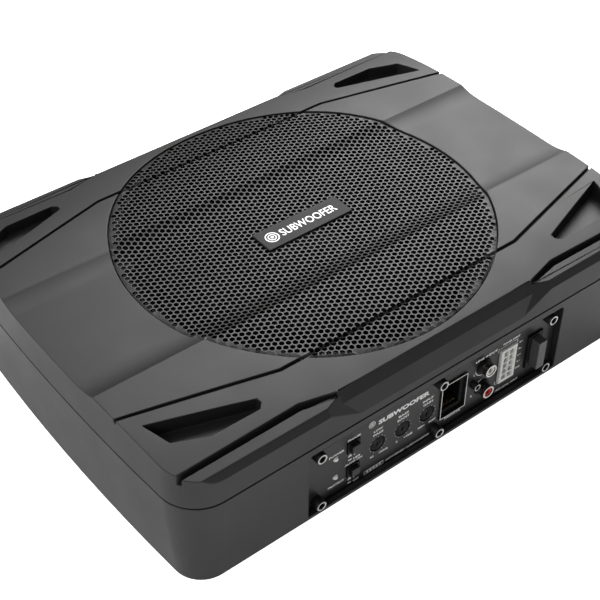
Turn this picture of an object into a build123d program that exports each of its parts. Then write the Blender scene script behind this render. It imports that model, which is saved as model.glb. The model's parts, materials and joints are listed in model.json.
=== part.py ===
from build123d import *
from math import sqrt
import os

os.makedirs("parts", exist_ok=True)

# Powered under-seat subwoofer.
# Millimetres. Z is up, z = 0 is the underside it rests on, the origin is the centre of the
# footprint, X runs along the long side and the control panel faces -Y.

# ---- enclosure ---------------------------------------------------------------------------
HALF_X, HALF_Y = 173.1, 125.0      # half size at the seam
BASE_HALF_X, BASE_HALF_Y = 171.9, 124.76     # half size at the underside
BOW = 5.2                          # how far the short sides bulge past their corners
SEAM_Z = 55.5                      # where the top cover meets the lower housing
TOP_Z = 82.0                       # highest flat of the cover
CORNER_R, BASE_CORNER_R = 23.4, 17.9
DRAFT_TOP = 1.6                    # degrees
WALL = 3.0
FLOOR_T = 3.0

# ---- top surface cross-section (all measured down from TOP_Z) -----------------------------
CHANNEL_DEPTH = 3.0
CHANNEL_FLOOR_Y = 32.0             # half width of the flat channel floor
CREASE_Y = 47.8                    # outer crease of the channel
CROWN_Y = 60.0                     # where the surface starts to fall away
CROWN_R = 400.0
PANEL_LINE_X, PANEL_LINE_Y = 84.3, 89.3      # bend of the thin panel line
PANEL_END_X, PANEL_END_Y = 175.0, 66.4       # where the panel line leaves the short side
PANEL_LINE_W, PANEL_LINE_D = 2.0, 2.6

# ---- long-edge trim ------------------------------------------------------------------------
TRIM_INNER = [(69.4, 116.9), (90.6, 111.9), (176.0, 113.6)]   # cover side of the wide groove
TRIM_OUTER = [(70.8, 118.7), (90.8, 115.1), (176.0, 115.8)]   # strip side of the wide groove
TRIM_FLOOR = 9.6
STRIP_EDGE = (121.8, 6.3)          # outer top edge of the strip, (y, drop)
STRIP_TILT = 0.13
BEVEL_FOOT = (124.6, 10.6)
SCOOP = [(116.8, 4.0), (121.0, 10.3), (124.6, 19.6)]          # middle bevel, (y, drop)
VENT_OUTLINE = [(162.0, 78.7), (106.0, 97.4), (105.2, 100.6), (108.4, 103.8), (138.2, 103.6),
                (156.8, 95.6)]
VENT_FLOOR = 10.0

# ---- grille --------------------------------------------------------------------------------
GRILLE_R = 112.5
GRILLE_GAP = 0.7
GRILLE_T = 1.2
GRILLE_SINK = 0.5
CREASE_HALF_W, CREASE_DEPTH = 1.4, 1.2       # V pressed into the grille along the panel line
BADGE_X, BADGE_Y, BADGE_T = 61.0, 17.6, 1.2

# ---- driver --------------------------------------------------------------------------------
BAFFLE_Z = 65.0                    # top of the baffle ring inside the cover
BAFFLE_T = 3.0
WELL_R = 106.5
BAFFLE_OPEN_R = 94.5
FRAME_R = 106.0
FRAME_Z0, FRAME_Z1 = 66.0, 68.0
FRAME_SCREW_R, FRAME_SCREWS = 102.2, 8
CONE_LIP_R = 80.5
SURROUND_R = 94.0
COIL_R = 19.2
MAGNET_R, MAGNET_Z0, MAGNET_Z1 = 52.0, 13.0, 29.0

# ---- control panel -------------------------------------------------------------------------
PANEL_Y = -120.3                   # front face of the panel plate
PANEL_T = 2.0
PANEL_BACK = PANEL_Y + PANEL_T
RECESS_X, RECESS_Z0, RECESS_Z1 = 93.5, 0.9, 50.6
CURB_TOP, CURB_T = 2.6, 3.8        # low lip that stays in front of the foot of the plate
RECESS_CORNER_R = 2.6              # upper corners of the recess
SCREW_X, SCREW_LOW_Z, SCREW_TOP_Z = 85.3, 6.6, 44.6
BLOCK_SCREW = (28.6, 24.2)
LED_X, LED_Z, LED_R = -71.7, (30.2, 15.6), 1.75
SWITCH_X, SWITCH_Z = -59.8, (33.2, 14.4)
KNOB_X, KNOB_Z, KNOB_R = (-42.2, -24.1, -6.0), 22.2, 4.7
KNOB_FRONT = 119.9                 # the knobs end just inside the face of the plate
REMOTE_X, REMOTE_Z, REMOTE_W, REMOTE_H = 13.0, 24.5, 19.4, 26.4
RCA_X, RCA_Z, RCA_R = 36.4, (34.0, 17.0), 4.15
RCA_BORE = 3.1
RCA_NECK_R, RCA_ROOT_Y = 3.9, -121.5         # the shell steps down to its neck just outside the collar
POWER_X, POWER_Z, POWER_W, POWER_H = 54.9, 25.4, 12.2, 26.0
POWER_PITCH = 4.5
FUSE_X, FUSE_Z, FUSE_W, FUSE_H = 76.9, 23.6, 6.2, 20.8
FUSE_FRONT = 127.6
HOLDER_W, HOLDER_H = 11.6, 25.6

BOARD_Z, BOARD_T = 6.4, 1.6

# ---- fixings -------------------------------------------------------------------------------
POSTS = [(x, y) for x in (-156.0, 156.0) for y in (-108.0, 108.0)] + [(-161.0, 0.0), (161.0, 0.0)]
POST_R = 5.5
COUNTERBORE_R, COUNTERBORE_TOP = 3.8, 40.0
MOUNT_X, MOUNT_Y, MOUNT_R, MOUNT_DEPTH = 140.0, 60.0, 2.5, 9.0


def rel(y, drop):
    """Height of a point given by how far it lies below the top."""
    return (y, TOP_Z - drop)


def top_line(drop, reach, crease_line=0.0):
    """Right half of the top's cross-section lowered by drop, centre line outwards.

    Used inside a BuildLine; crease_line is the depth of a pressed V at the panel line.
    """
    ramp_r = ((CREASE_Y - CHANNEL_FLOOR_Y) ** 2 + CHANNEL_DEPTH ** 2) / (2 * CHANNEL_DEPTH)
    centre_drop = CHANNEL_DEPTH - ramp_r
    edge_y = CHANNEL_FLOOR_Y + sqrt((ramp_r + drop) ** 2 - (ramp_r - CHANNEL_DEPTH) ** 2)
    half = (edge_y + CHANNEL_FLOOR_Y) / 2
    half_drop = centre_drop + sqrt((ramp_r + drop) ** 2 - (half - CHANNEL_FLOOR_Y) ** 2)

    def crown(y):
        return CROWN_R - sqrt((CROWN_R - drop) ** 2 - (y - CROWN_Y) ** 2)

    def on_crown(y):
        return rel(y, crown(y))

    def crown_arc(y_from, y_to):
        ThreePointArc(on_crown(y_from), on_crown((y_from + y_to) / 2), on_crown(y_to))

    Line(rel(0, CHANNEL_DEPTH + drop), rel(CHANNEL_FLOOR_Y, CHANNEL_DEPTH + drop))
    ThreePointArc(rel(CHANNEL_FLOOR_Y, CHANNEL_DEPTH + drop), rel(half, half_drop), rel(edge_y, drop))
    Line(rel(edge_y, drop), rel(CROWN_Y, drop))
    if crease_line:
        y_in, y_out = PANEL_LINE_Y - CREASE_HALF_W, PANEL_LINE_Y + CREASE_HALF_W
        crown_arc(CROWN_Y, y_in)
        Polyline(on_crown(y_in), rel(PANEL_LINE_Y, crown(PANEL_LINE_Y) + crease_line), on_crown(y_out))
        crown_arc(y_out, reach)
    else:
        crown_arc(CROWN_Y, reach)
    return on_crown(reach)


def bowed_sides(half_x, half_y):
    """Plan outline whose short sides bow outwards. Used inside a BuildLine."""
    corner_x = half_x - BOW
    Line((-corner_x, -half_y), (corner_x, -half_y))
    ThreePointArc((corner_x, -half_y), (half_x, 0), (corner_x, half_y))
    Line((corner_x, half_y), (-corner_x, half_y))
    ThreePointArc((-corner_x, half_y), (-half_x, 0), (-corner_x, -half_y))


def mirrored(points):
    """The four mirror images of a plan outline."""
    return [[(sx * x, sy * y) for x, y in points] for sx in (-1, 1) for sy in (-1, 1)]


# ======================== top cover =========================================================
with BuildPart() as top_cover:
    with BuildSketch(Plane.XY.offset(SEAM_Z)) as plan:
        with BuildLine():
            bowed_sides(HALF_X, HALF_Y)
        make_face()
        fillet(plan.vertices(), CORNER_R)
    extrude(amount=TOP_Z + 1 - SEAM_Z, taper=DRAFT_TOP)
    # channel and crown
    with BuildSketch(Plane.YZ):
        with BuildLine():
            end = top_line(0, 130)
            Polyline(end, (130, SEAM_Z - 1), (0, SEAM_Z - 1))
            mirror(about=Plane.YZ)
        make_face()
    extrude(amount=200, both=True, mode=Mode.INTERSECT)
    # corner strips stand lower than the cover
    for sx in (-1, 1):
        for sy in (-1, 1):
            with BuildPart(mode=Mode.PRIVATE) as strip_cut:
                with BuildSketch(Plane.XY.offset(60)):
                    with BuildLine():
                        Polyline(*[(sx * x, sy * (y + 1.2)) for x, y in TRIM_INNER],
                                 (sx * 176, sy * 130), (sx * 69.4, sy * 130), close=True)
                    make_face()
                extrude(amount=30)
                with BuildSketch(Plane.YZ):
                    with BuildLine():
                        y_edge, d_edge = STRIP_EDGE
                        Polyline((sy * 100, TOP_Z - d_edge + STRIP_TILT * (y_edge - 100)),
                                 (sy * 131, TOP_Z - d_edge - STRIP_TILT * (131 - y_edge)),
                                 (sy * 131, 95), (sy * 100, 95), close=True)
                    make_face()
                extrude(amount=200, both=True, mode=Mode.INTERSECT)
            add(strip_cut.part, mode=Mode.SUBTRACT)
    # bevel under the strips, and the deeper bevel between them
    for sy in (-1, 1):
        run = (BEVEL_FOOT[0] - STRIP_EDGE[0]) / (BEVEL_FOOT[1] - STRIP_EDGE[1])
        with BuildSketch(Plane.YZ):
            with BuildLine():
                Polyline((sy * (STRIP_EDGE[0] - run * 6), TOP_Z - STRIP_EDGE[1] + 6),
                         (sy * STRIP_EDGE[0], TOP_Z - STRIP_EDGE[1]),
                         (sy * (STRIP_EDGE[0] + run * 9), TOP_Z - STRIP_EDGE[1] - 9),
                         (sy * 135, TOP_Z - STRIP_EDGE[1] - 9), (sy * 135, TOP_Z + 5),
                         (sy * (STRIP_EDGE[0] - run * 6), TOP_Z + 5), close=True)
            make_face()
        extrude(amount=200, both=True, mode=Mode.SUBTRACT)
        with BuildPart(mode=Mode.PRIVATE) as scoop:
            (ya, da), (yb, db), (yc, dc) = SCOOP
            with BuildSketch(Plane.YZ):
                with BuildLine():
                    Polyline(rel(sy * ya, da), rel(sy * yb, db), rel(sy * yc, dc),
                             rel(sy * (yc + 0.38), dc + 1), rel(sy * 135, dc + 1),
                             rel(sy * 135, -5), rel(sy * ya, -5), close=True)
                make_face()
            extrude(amount=84, both=True)
            for sx in (-1, 1):
                end_plane = Plane(origin=(sx * 79.4, sy * 121.8, TOP_Z - 6.3),
                                  z_dir=(-sx * 0.258, sy * 0.797, 0.545))
                split(bisect_by=end_plane, keep=Keep.TOP)
        add(scoop.part, mode=Mode.SUBTRACT)
    # wide grooves between the cover and the strips
    for sx in (-1, 1):
        for sy in (-1, 1):
            with BuildSketch(Plane.XY.offset(TOP_Z - TRIM_FLOOR)):
                with BuildLine():
                    Polyline(*[(sx * x, sy * y) for x, y in TRIM_INNER],
                             *[(sx * x, sy * y) for x, y in reversed(TRIM_OUTER)], close=True)
                make_face()
            extrude(amount=20, mode=Mode.SUBTRACT)
    # thin panel lines, cut square to the crowned surface's height
    for sy in (-1, 1):
        with BuildPart(mode=Mode.PRIVATE) as line_cut:
            path = [(-PANEL_END_X, PANEL_END_Y), (-PANEL_LINE_X, PANEL_LINE_Y),
                    (PANEL_LINE_X, PANEL_LINE_Y), (PANEL_END_X, PANEL_END_Y)]
            with BuildSketch(Plane.XY.offset(60)):
                with BuildLine():
                    Polyline(*[(x, sy * (y + PANEL_LINE_W / 2)) for x, y in path],
                             *[(x, sy * (y - PANEL_LINE_W / 2)) for x, y in reversed(path)], close=True)
                make_face()
            extrude(amount=30)
            with BuildSketch(Plane.YZ):
                with BuildLine():
                    end = top_line(PANEL_LINE_D, 110)
                    Polyline(end, (110, 95), (0, 95))
                    mirror(about=Plane.YZ)
                make_face()
            extrude(amount=200, both=True, mode=Mode.INTERSECT)
        add(line_cut.part, mode=Mode.SUBTRACT)
    # vent pockets
    with BuildSketch(Plane.XY.offset(TOP_Z - VENT_FLOOR)):
        for outline in mirrored(VENT_OUTLINE):
            with BuildLine():
                Polyline(*outline, close=True)
            make_face()
    extrude(amount=20, mode=Mode.SUBTRACT)
    # hollow underside: a broad cavity and a deeper one under the flats
    with BuildSketch(Plane.XY.offset(SEAM_Z)) as cavity:
        with BuildLine():
            bowed_sides(HALF_X - WALL, HALF_Y - WALL)
        make_face()
        fillet(cavity.vertices(), CORNER_R - WALL)
    extrude(amount=13.2, taper=DRAFT_TOP, mode=Mode.SUBTRACT)
    with BuildSketch(Plane.XY.offset(SEAM_Z)):
        Rectangle(2 * 165, 2 * 60)
    extrude(amount=TOP_Z - CHANNEL_DEPTH - WALL - SEAM_Z, mode=Mode.SUBTRACT)
    # driver well with its baffle ring
    with BuildSketch(Plane.XY.offset(BAFFLE_Z - BAFFLE_T)):
        Circle(WELL_R + 3.5)
    extrude(amount=TOP_Z - CHANNEL_DEPTH - WALL + 1 - (BAFFLE_Z - BAFFLE_T))
    with BuildSketch(Plane.XY.offset(BAFFLE_Z)):
        Circle(WELL_R)
    extrude(amount=30, mode=Mode.SUBTRACT)
    with BuildSketch(Plane.XY.offset(SEAM_Z)):
        Circle(BAFFLE_OPEN_R)
    extrude(amount=30, mode=Mode.SUBTRACT)
    # seat for the grille, following the top's section
    with BuildPart(mode=Mode.PRIVATE) as grille_seat:
        with BuildSketch(Plane.XY.offset(60)):
            Circle(GRILLE_R + GRILLE_GAP)
        extrude(amount=30)
        with BuildSketch(Plane.YZ):
            with BuildLine():
                end = top_line(GRILLE_SINK + GRILLE_T + 1.6, 118)
                Polyline(end, (118, 95), (0, 95))
                mirror(about=Plane.YZ)
            make_face()
        extrude(amount=200, both=True, mode=Mode.INTERSECT)
    add(grille_seat.part, mode=Mode.SUBTRACT)
    # screw bosses for the posts below
    with BuildSketch(Plane.XY.offset(SEAM_Z)):
        with Locations(*POSTS):
            Circle(POST_R)
    extrude(amount=13.5)
    with BuildSketch(Plane.XY.offset(SEAM_Z)):
        with Locations(*POSTS):
            Circle(1.55)
    extrude(amount=11.0, mode=Mode.SUBTRACT)
    # frame screw holes
    with BuildSketch(Plane.XY.offset(BAFFLE_Z - BAFFLE_T)):
        with PolarLocations(FRAME_SCREW_R, FRAME_SCREWS, start_angle=22.5):
            Circle(1.55)
    extrude(amount=BAFFLE_T, mode=Mode.SUBTRACT)
    # shadow gap round the lower edge
    with BuildPart(mode=Mode.PRIVATE) as gap_core:
        with BuildSketch(Plane.XY.offset(SEAM_Z)) as core:
            with BuildLine():
                bowed_sides(HALF_X - 0.9, HALF_Y - 0.9)
            make_face()
            fillet(core.vertices(), CORNER_R - 0.9)
        extrude(amount=0.9)
    with BuildPart(mode=Mode.PRIVATE) as gap:
        with BuildSketch(Plane.XY.offset(SEAM_Z)):
            Rectangle(2 * HALF_X + 4, 2 * HALF_Y + 4)
        extrude(amount=0.9)
        add(gap_core.part, mode=Mode.SUBTRACT)
    add(gap.part, mode=Mode.SUBTRACT)

top_cover.part.label = "top_cover"
export_step(top_cover.part, "parts/top_cover.step")

# ======================== lower housing =====================================================
with BuildPart() as lower_housing:
    with BuildSketch(Plane.XY) as foot:
        with BuildLine():
            bowed_sides(BASE_HALF_X, BASE_HALF_Y)
        make_face()
        fillet(foot.vertices(), BASE_CORNER_R)
    with BuildSketch(Plane.XY.offset(SEAM_Z)) as rim:
        with BuildLine():
            bowed_sides(HALF_X, HALF_Y)
        make_face()
        fillet(rim.vertices(), CORNER_R)
    loft(ruled=True)
    with BuildPart(mode=Mode.PRIVATE) as hollow:
        with BuildSketch(Plane.XY.offset(FLOOR_T)) as inner_foot:
            with BuildLine():
                bowed_sides(BASE_HALF_X - WALL, BASE_HALF_Y - WALL)
            make_face()
            fillet(inner_foot.vertices(), BASE_CORNER_R - WALL)
        with BuildSketch(Plane.XY.offset(SEAM_Z)) as inner_rim:
            with BuildLine():
                bowed_sides(HALF_X - WALL, HALF_Y - WALL)
            make_face()
            fillet(inner_rim.vertices(), CORNER_R - WALL)
        loft(ruled=True)
    add(hollow.part, mode=Mode.SUBTRACT)
    # frame behind the control panel, then the recess and its through-opening
    with BuildSketch(Plane.XZ.offset(122.0)):
        with Locations((0, (RECESS_Z1 + 3) / 2)):
            Rectangle(2 * (RECESS_X + 3), RECESS_Z1 + 3)
    extrude(amount=-(122.0 + PANEL_BACK + 3.6))
    with BuildSketch(Plane.XZ.offset(130.0)) as recess:
        with Locations((0, (CURB_TOP + RECESS_Z1) / 2)):
            Rectangle(2 * RECESS_X, RECESS_Z1 - CURB_TOP)
        fillet(recess.vertices().group_by(Axis.Y)[-1], RECESS_CORNER_R)
    extrude(amount=-(130.0 + PANEL_BACK), mode=Mode.SUBTRACT)
    # trough behind the lip, where the foot of the plate stands
    with BuildSketch(Plane.XZ.offset(BASE_HALF_Y - CURB_T)):
        with Locations((0, (RECESS_Z0 + RECESS_Z1) / 2 - 5)):
            Rectangle(2 * RECESS_X, RECESS_Z1 - RECESS_Z0 - 10)
    extrude(amount=-(BASE_HALF_Y - CURB_T + PANEL_BACK), mode=Mode.SUBTRACT)
    with BuildSketch(Plane.XZ.offset(130.0)):
        with Locations((0, 25.5)):
            Rectangle(176, 32.2)
    extrude(amount=-20, mode=Mode.SUBTRACT)
    with BuildSketch(Plane.XZ.offset(130.0)):
        with Locations(*[(x, z) for x in (-SCREW_X, 0, SCREW_X) for z in (SCREW_LOW_Z, SCREW_TOP_Z)]):
            Circle(2.05)
    extrude(amount=-20, mode=Mode.SUBTRACT)
    # posts for the cover screws, bosses for the mounting threads, pads for the board
    with BuildSketch(Plane.XY.offset(FLOOR_T)):
        with Locations(*POSTS):
            Circle(POST_R)
    extrude(amount=SEAM_Z - FLOOR_T)
    with BuildSketch(Plane.XY.offset(FLOOR_T)):
        with GridLocations(2 * MOUNT_X, 2 * MOUNT_Y, 2, 2):
            Circle(6.0)
    extrude(amount=MOUNT_DEPTH + 3 - FLOOR_T)
    with BuildSketch(Plane.XY.offset(FLOOR_T)):
        with Locations(*[(x, y) for x in (-80, 80) for y in (-108, -74)]):
            Circle(3.2)
    extrude(amount=BOARD_Z - FLOOR_T)
    with BuildSketch(Plane.XY):
        with Locations(*POSTS):
            Circle(COUNTERBORE_R)
    extrude(amount=COUNTERBORE_TOP, mode=Mode.SUBTRACT)
    with BuildSketch(Plane.XY.offset(COUNTERBORE_TOP)):
        with Locations(*POSTS):
            Circle(1.75)
    extrude(amount=20, mode=Mode.SUBTRACT)
    with BuildSketch(Plane.XY):
        with GridLocations(2 * MOUNT_X, 2 * MOUNT_Y, 2, 2):
            Circle(MOUNT_R)
    extrude(amount=MOUNT_DEPTH, mode=Mode.SUBTRACT)
    with BuildSketch(Plane.XY.offset(FLOOR_T + 0.6)):
        with Locations(*[(x, y) for x in (-80, 80) for y in (-108, -74)]):
            Circle(1.3)
    extrude(amount=4, mode=Mode.SUBTRACT)
    # groove for the seam gasket
    with BuildPart(mode=Mode.PRIVATE) as groove:
        with BuildSketch(Plane.XY.offset(SEAM_Z - 1.2)) as groove_out:
            with BuildLine():
                bowed_sides(HALF_X - 1.2, HALF_Y - 1.2)
            make_face()
            fillet(groove_out.vertices(), CORNER_R - 1.2)
        extrude(amount=2)
        with BuildSketch(Plane.XY.offset(SEAM_Z - 1.2)) as groove_in:
            with BuildLine():
                bowed_sides(HALF_X - 2.4, HALF_Y - 2.4)
            make_face()
            fillet(groove_in.vertices(), CORNER_R - 2.4)
        extrude(amount=2, mode=Mode.SUBTRACT)
    add(groove.part, mode=Mode.SUBTRACT)

lower_housing.part.label = "lower_housing"
export_step(lower_housing.part, "parts/lower_housing.step")

with BuildPart() as housing_gasket:
    with BuildSketch(Plane.XY.offset(SEAM_Z - 1.2)) as seal_out:
        with BuildLine():
            bowed_sides(HALF_X - 1.25, HALF_Y - 1.25)
        make_face()
        fillet(seal_out.vertices(), CORNER_R - 1.25)
    extrude(amount=1.2)
    with BuildSketch(Plane.XY.offset(SEAM_Z - 1.2)) as seal_in:
        with BuildLine():
            bowed_sides(HALF_X - 2.35, HALF_Y - 2.35)
        make_face()
        fillet(seal_in.vertices(), CORNER_R - 2.35)
    extrude(amount=1.2, mode=Mode.SUBTRACT)

housing_gasket.part.label = "housing_gasket"
export_step(housing_gasket.part, "parts/housing_gasket.step")

with BuildPart() as cover_screws:
    with BuildSketch(Plane.XY.offset(COUNTERBORE_TOP - 2.4)):
        with Locations(*POSTS):
            Circle(3.0)
            RegularPolygon(1.4, 6, major_radius=False, mode=Mode.SUBTRACT)
    extrude(amount=1.6)
    with BuildSketch(Plane.XY.offset(COUNTERBORE_TOP - 0.8)):
        with Locations(*POSTS):
            Circle(3.0)
    extrude(amount=0.8)
    with BuildSketch(Plane.XY.offset(COUNTERBORE_TOP)):
        with Locations(*POSTS):
            Circle(1.5)
    extrude(amount=25.0)

cover_screws.part.label = "cover_screws"
export_step(cover_screws.part, "parts/cover_screws.step")

# ======================== grille and badge ==================================================
with BuildPart() as grille:
    with BuildSketch(Plane.XY.offset(60)):
        Circle(GRILLE_R)
    extrude(amount=30)
    with BuildSketch(Plane.YZ):
        with BuildLine():
            end_top = top_line(GRILLE_SINK, 116, CREASE_DEPTH)
            end_low = top_line(GRILLE_SINK + GRILLE_T, 116, CREASE_DEPTH)
            Line(end_top, end_low)
            mirror(about=Plane.YZ)
        make_face()
    extrude(amount=200, both=True, mode=Mode.INTERSECT)

grille.part.label = "grille"
export_step(grille.part, "parts/grille.step")

with BuildPart() as grille_badge:
    with BuildSketch(Plane.XY.offset(TOP_Z - CHANNEL_DEPTH - GRILLE_SINK)):
        RectangleRounded(BADGE_X, BADGE_Y, 0.6)
    extrude(amount=BADGE_T)
    chamfer(grille_badge.faces().sort_by(Axis.Z)[-1].edges(), 0.3)

grille_badge.part.label = "grille_badge"
export_step(grille_badge.part, "parts/grille_badge.step")

# ======================== driver ============================================================
with BuildPart() as speaker_basket:
    with BuildSketch(Plane.XZ):
        with BuildLine():
            Polyline((FRAME_R, FRAME_Z1), (FRAME_R, FRAME_Z0), (94.0, FRAME_Z0), (91.5, 61.5), (62.5, 42.0),
                     (58.0, 42.0), (58.0, 33.0), (22.0, 33.0), (22.0, 35.0), (56.0, 35.0), (56.0, 44.0),
                     (61.7, 44.0), (89.8, 63.0), (91.6, FRAME_Z1), close=True)
        make_face()
    revolve(axis=Axis.Z)
    with BuildSketch(Plane.XY.offset(44.2)):
        with PolarLocations(76.5, 6):
            RectangleRounded(18, 48, 5)
    extrude(amount=18, mode=Mode.SUBTRACT)
    with BuildSketch(Plane.XY.offset(FRAME_Z0)):
        with PolarLocations(FRAME_SCREW_R, FRAME_SCREWS, start_angle=22.5):
            Circle(1.6)
    extrude(amount=4, mode=Mode.SUBTRACT)

speaker_basket.part.label = "speaker_basket"
export_step(speaker_basket.part, "parts/speaker_basket.step")

with BuildPart() as frame_gasket:
    with BuildSketch(Plane.XY.offset(BAFFLE_Z)):
        Circle(105.5)
        Circle(95.2, mode=Mode.SUBTRACT)
        with PolarLocations(FRAME_SCREW_R, FRAME_SCREWS, start_angle=22.5):
            Circle(1.6, mode=Mode.SUBTRACT)
    extrude(amount=FRAME_Z0 - BAFFLE_Z)

frame_gasket.part.label = "frame_gasket"
export_step(frame_gasket.part, "parts/frame_gasket.step")

with BuildPart() as frame_screws:
    with BuildSketch(Plane.XY.offset(FRAME_Z1)):
        with PolarLocations(FRAME_SCREW_R, FRAME_SCREWS, start_angle=22.5):
            Circle(2.8)
    extrude(amount=2.0)
    with BuildSketch(Plane.XY.offset(FRAME_Z1)):
        with PolarLocations(FRAME_SCREW_R, FRAME_SCREWS, start_angle=22.5):
            Circle(1.5)
    extrude(amount=-9.0)

frame_screws.part.label = "frame_screws"
export_step(frame_screws.part, "parts/frame_screws.step")

with BuildPart() as surround:
    lift = FRAME_Z1
    middle = (CONE_LIP_R + SURROUND_R) / 2
    with BuildSketch(Plane.XZ):
        with BuildLine():
            Polyline((CONE_LIP_R, lift + 1), (76.6, lift + 1), (76.6, lift), (CONE_LIP_R + 0.8, lift))
            ThreePointArc((CONE_LIP_R + 0.8, lift), (middle, lift + 6.0), (SURROUND_R - 0.8, lift))
            Polyline((SURROUND_R - 0.8, lift), (98.6, lift), (98.6, lift + 1), (SURROUND_R, lift + 1))
            ThreePointArc((SURROUND_R, lift + 1), (middle, lift + 7.2), (CONE_LIP_R, lift + 1))
        make_face()
    revolve(axis=Axis.Z)

surround.part.label = "surround"
export_step(surround.part, "parts/surround.step")

with BuildPart() as trim_ring:
    with BuildSketch(Plane.XY.offset(FRAME_Z1 + 1)):
        Circle(98.6)
        Circle(94.6, mode=Mode.SUBTRACT)
    extrude(amount=2.0)

trim_ring.part.label = "trim_ring"
export_step(trim_ring.part, "parts/trim_ring.step")

with BuildPart() as cone:
    with BuildSketch(Plane.XZ):
        with BuildLine():
            Polyline((80.9, 68.0), (80.9, 67.0), (76.9, 67.0), (24.0, 48.4), (COIL_R + 0.05, 46.8),
                     (COIL_R + 0.05, 48.2), (23.6, 49.8), (76.4, 68.0), close=True)
        make_face()
    revolve(axis=Axis.Z)

cone.part.label = "cone"
export_step(cone.part, "parts/cone.step")

CAP_R, CAP_BASE_Z, CAP_TOP_Z, CAP_T = 32.2, 52.8, 60.8, 0.8
with BuildPart() as dust_cap:
    cap_h = CAP_TOP_Z - CAP_BASE_Z
    dome_r = (CAP_R ** 2 + cap_h ** 2) / (2 * cap_h)
    with Locations((0, 0, CAP_TOP_Z - dome_r)):
        Sphere(dome_r)
        Sphere(dome_r - CAP_T, mode=Mode.SUBTRACT)
    split(bisect_by=Plane.XY.offset(CAP_BASE_Z), keep=Keep.TOP)

dust_cap.part.label = "dust_cap"
export_step(dust_cap.part, "parts/dust_cap.step")

with BuildPart() as coil_former:
    with BuildSketch(Plane.XY.offset(21.0)):
        Circle(COIL_R)
        Circle(COIL_R - 0.3, mode=Mode.SUBTRACT)
    extrude(amount=28.0)

coil_former.part.label = "coil_former"
export_step(coil_former.part, "parts/coil_former.step")

with BuildPart() as voice_coil:
    with BuildSketch(Plane.XY.offset(24.0)):
        Circle(COIL_R + 0.9)
        Circle(COIL_R, mode=Mode.SUBTRACT)
    extrude(amount=14.0)

voice_coil.part.label = "voice_coil"
export_step(voice_coil.part, "parts/voice_coil.step")

with BuildPart() as spider:
    with BuildSketch(Plane.XZ):
        waves = [(COIL_R + 0.1, 44.0)] + [(24.0 + 4.0 * i, 44.0 + (1.5 if i % 2 else 0)) for i in range(8)]
        waves += [(56.3, 44.0), (61.4, 44.0)]
        with BuildLine():
            Polyline(*waves, *[(r, z + 0.7) for r, z in reversed(waves)], close=True)
        make_face()
    revolve(axis=Axis.Z)

spider.part.label = "spider"
export_step(spider.part, "parts/spider.step")

with BuildPart() as top_plate:
    with BuildSketch(Plane.XY.offset(MAGNET_Z1)):
        Circle(50.0)
        Circle(20.7, mode=Mode.SUBTRACT)
    extrude(amount=4.0)

top_plate.part.label = "top_plate"
export_step(top_plate.part, "parts/top_plate.step")

with BuildPart() as magnet:
    with BuildSketch(Plane.XY.offset(MAGNET_Z0)):
        Circle(MAGNET_R)
        Circle(26.0, mode=Mode.SUBTRACT)
    extrude(amount=MAGNET_Z1 - MAGNET_Z0)

magnet.part.label = "magnet"
export_step(magnet.part, "parts/magnet.step")

with BuildPart() as yoke:
    with BuildSketch(Plane.XY.offset(7.5)):
        Circle(49.0)
    extrude(amount=MAGNET_Z0 - 7.5)
    chamfer(yoke.edges().sort_by(Axis.Z)[0], 1.5)
    with BuildSketch(Plane.XY.offset(MAGNET_Z0)):
        Circle(18.2)
    extrude(amount=MAGNET_Z1 + 4 - MAGNET_Z0)
    with BuildSketch(Plane.XY):
        Circle(6.0)
    extrude(amount=40, mode=Mode.SUBTRACT)

yoke.part.label = "yoke"
export_step(yoke.part, "parts/yoke.step")

# ======================== control panel =====================================================
FRONT = Plane.XZ                   # sketches face -Y; offset(d) puts them at y = -d
PANEL_SCREWS = [(x, z) for x in (-SCREW_X, 0.0, SCREW_X) for z in (SCREW_LOW_Z, SCREW_TOP_Z)]
RCA = [(RCA_X, z) for z in RCA_Z]
SWITCHES = [(SWITCH_X, z) for z in SWITCH_Z]
KNOBS = [(x, KNOB_Z) for x in KNOB_X]
LEDS = [(LED_X, z) for z in LED_Z]

with BuildPart() as control_panel:
    with BuildSketch(FRONT.offset(-PANEL_BACK)) as plate:
        with Locations((0, (RECESS_Z0 + RECESS_Z1) / 2)):
            Rectangle(2 * RECESS_X - 0.4, RECESS_Z1 - RECESS_Z0 - 0.4)
        fillet(plate.vertices().group_by(Axis.Y)[-1], RECESS_CORNER_R - 0.2)
        with Locations(*PANEL_SCREWS):
            Circle(2.2, mode=Mode.SUBTRACT)
        with Locations(BLOCK_SCREW):
            Circle(1.7, mode=Mode.SUBTRACT)
        with Locations(*LEDS):
            Circle(LED_R + 0.05, mode=Mode.SUBTRACT)
        with Locations(*SWITCHES):
            Rectangle(8.7, 8.7, mode=Mode.SUBTRACT)
        with Locations(*KNOBS):
            Circle(KNOB_R + 0.5, mode=Mode.SUBTRACT)
        with Locations((REMOTE_X, REMOTE_Z)):
            Rectangle(REMOTE_W + 0.1, REMOTE_H + 0.1, mode=Mode.SUBTRACT)
        with Locations(*RCA):
            Circle(5.3, mode=Mode.SUBTRACT)
        with Locations((POWER_X, POWER_Z)):
            Rectangle(POWER_W + 0.1, POWER_H + 0.1, mode=Mode.SUBTRACT)
        with Locations((FUSE_X, FUSE_Z)):
            Rectangle(HOLDER_W + 0.2, HOLDER_H + 0.2, mode=Mode.SUBTRACT)
    extrude(amount=PANEL_T)

control_panel.part.label = "control_panel"
export_step(control_panel.part, "parts/control_panel.step")


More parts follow.
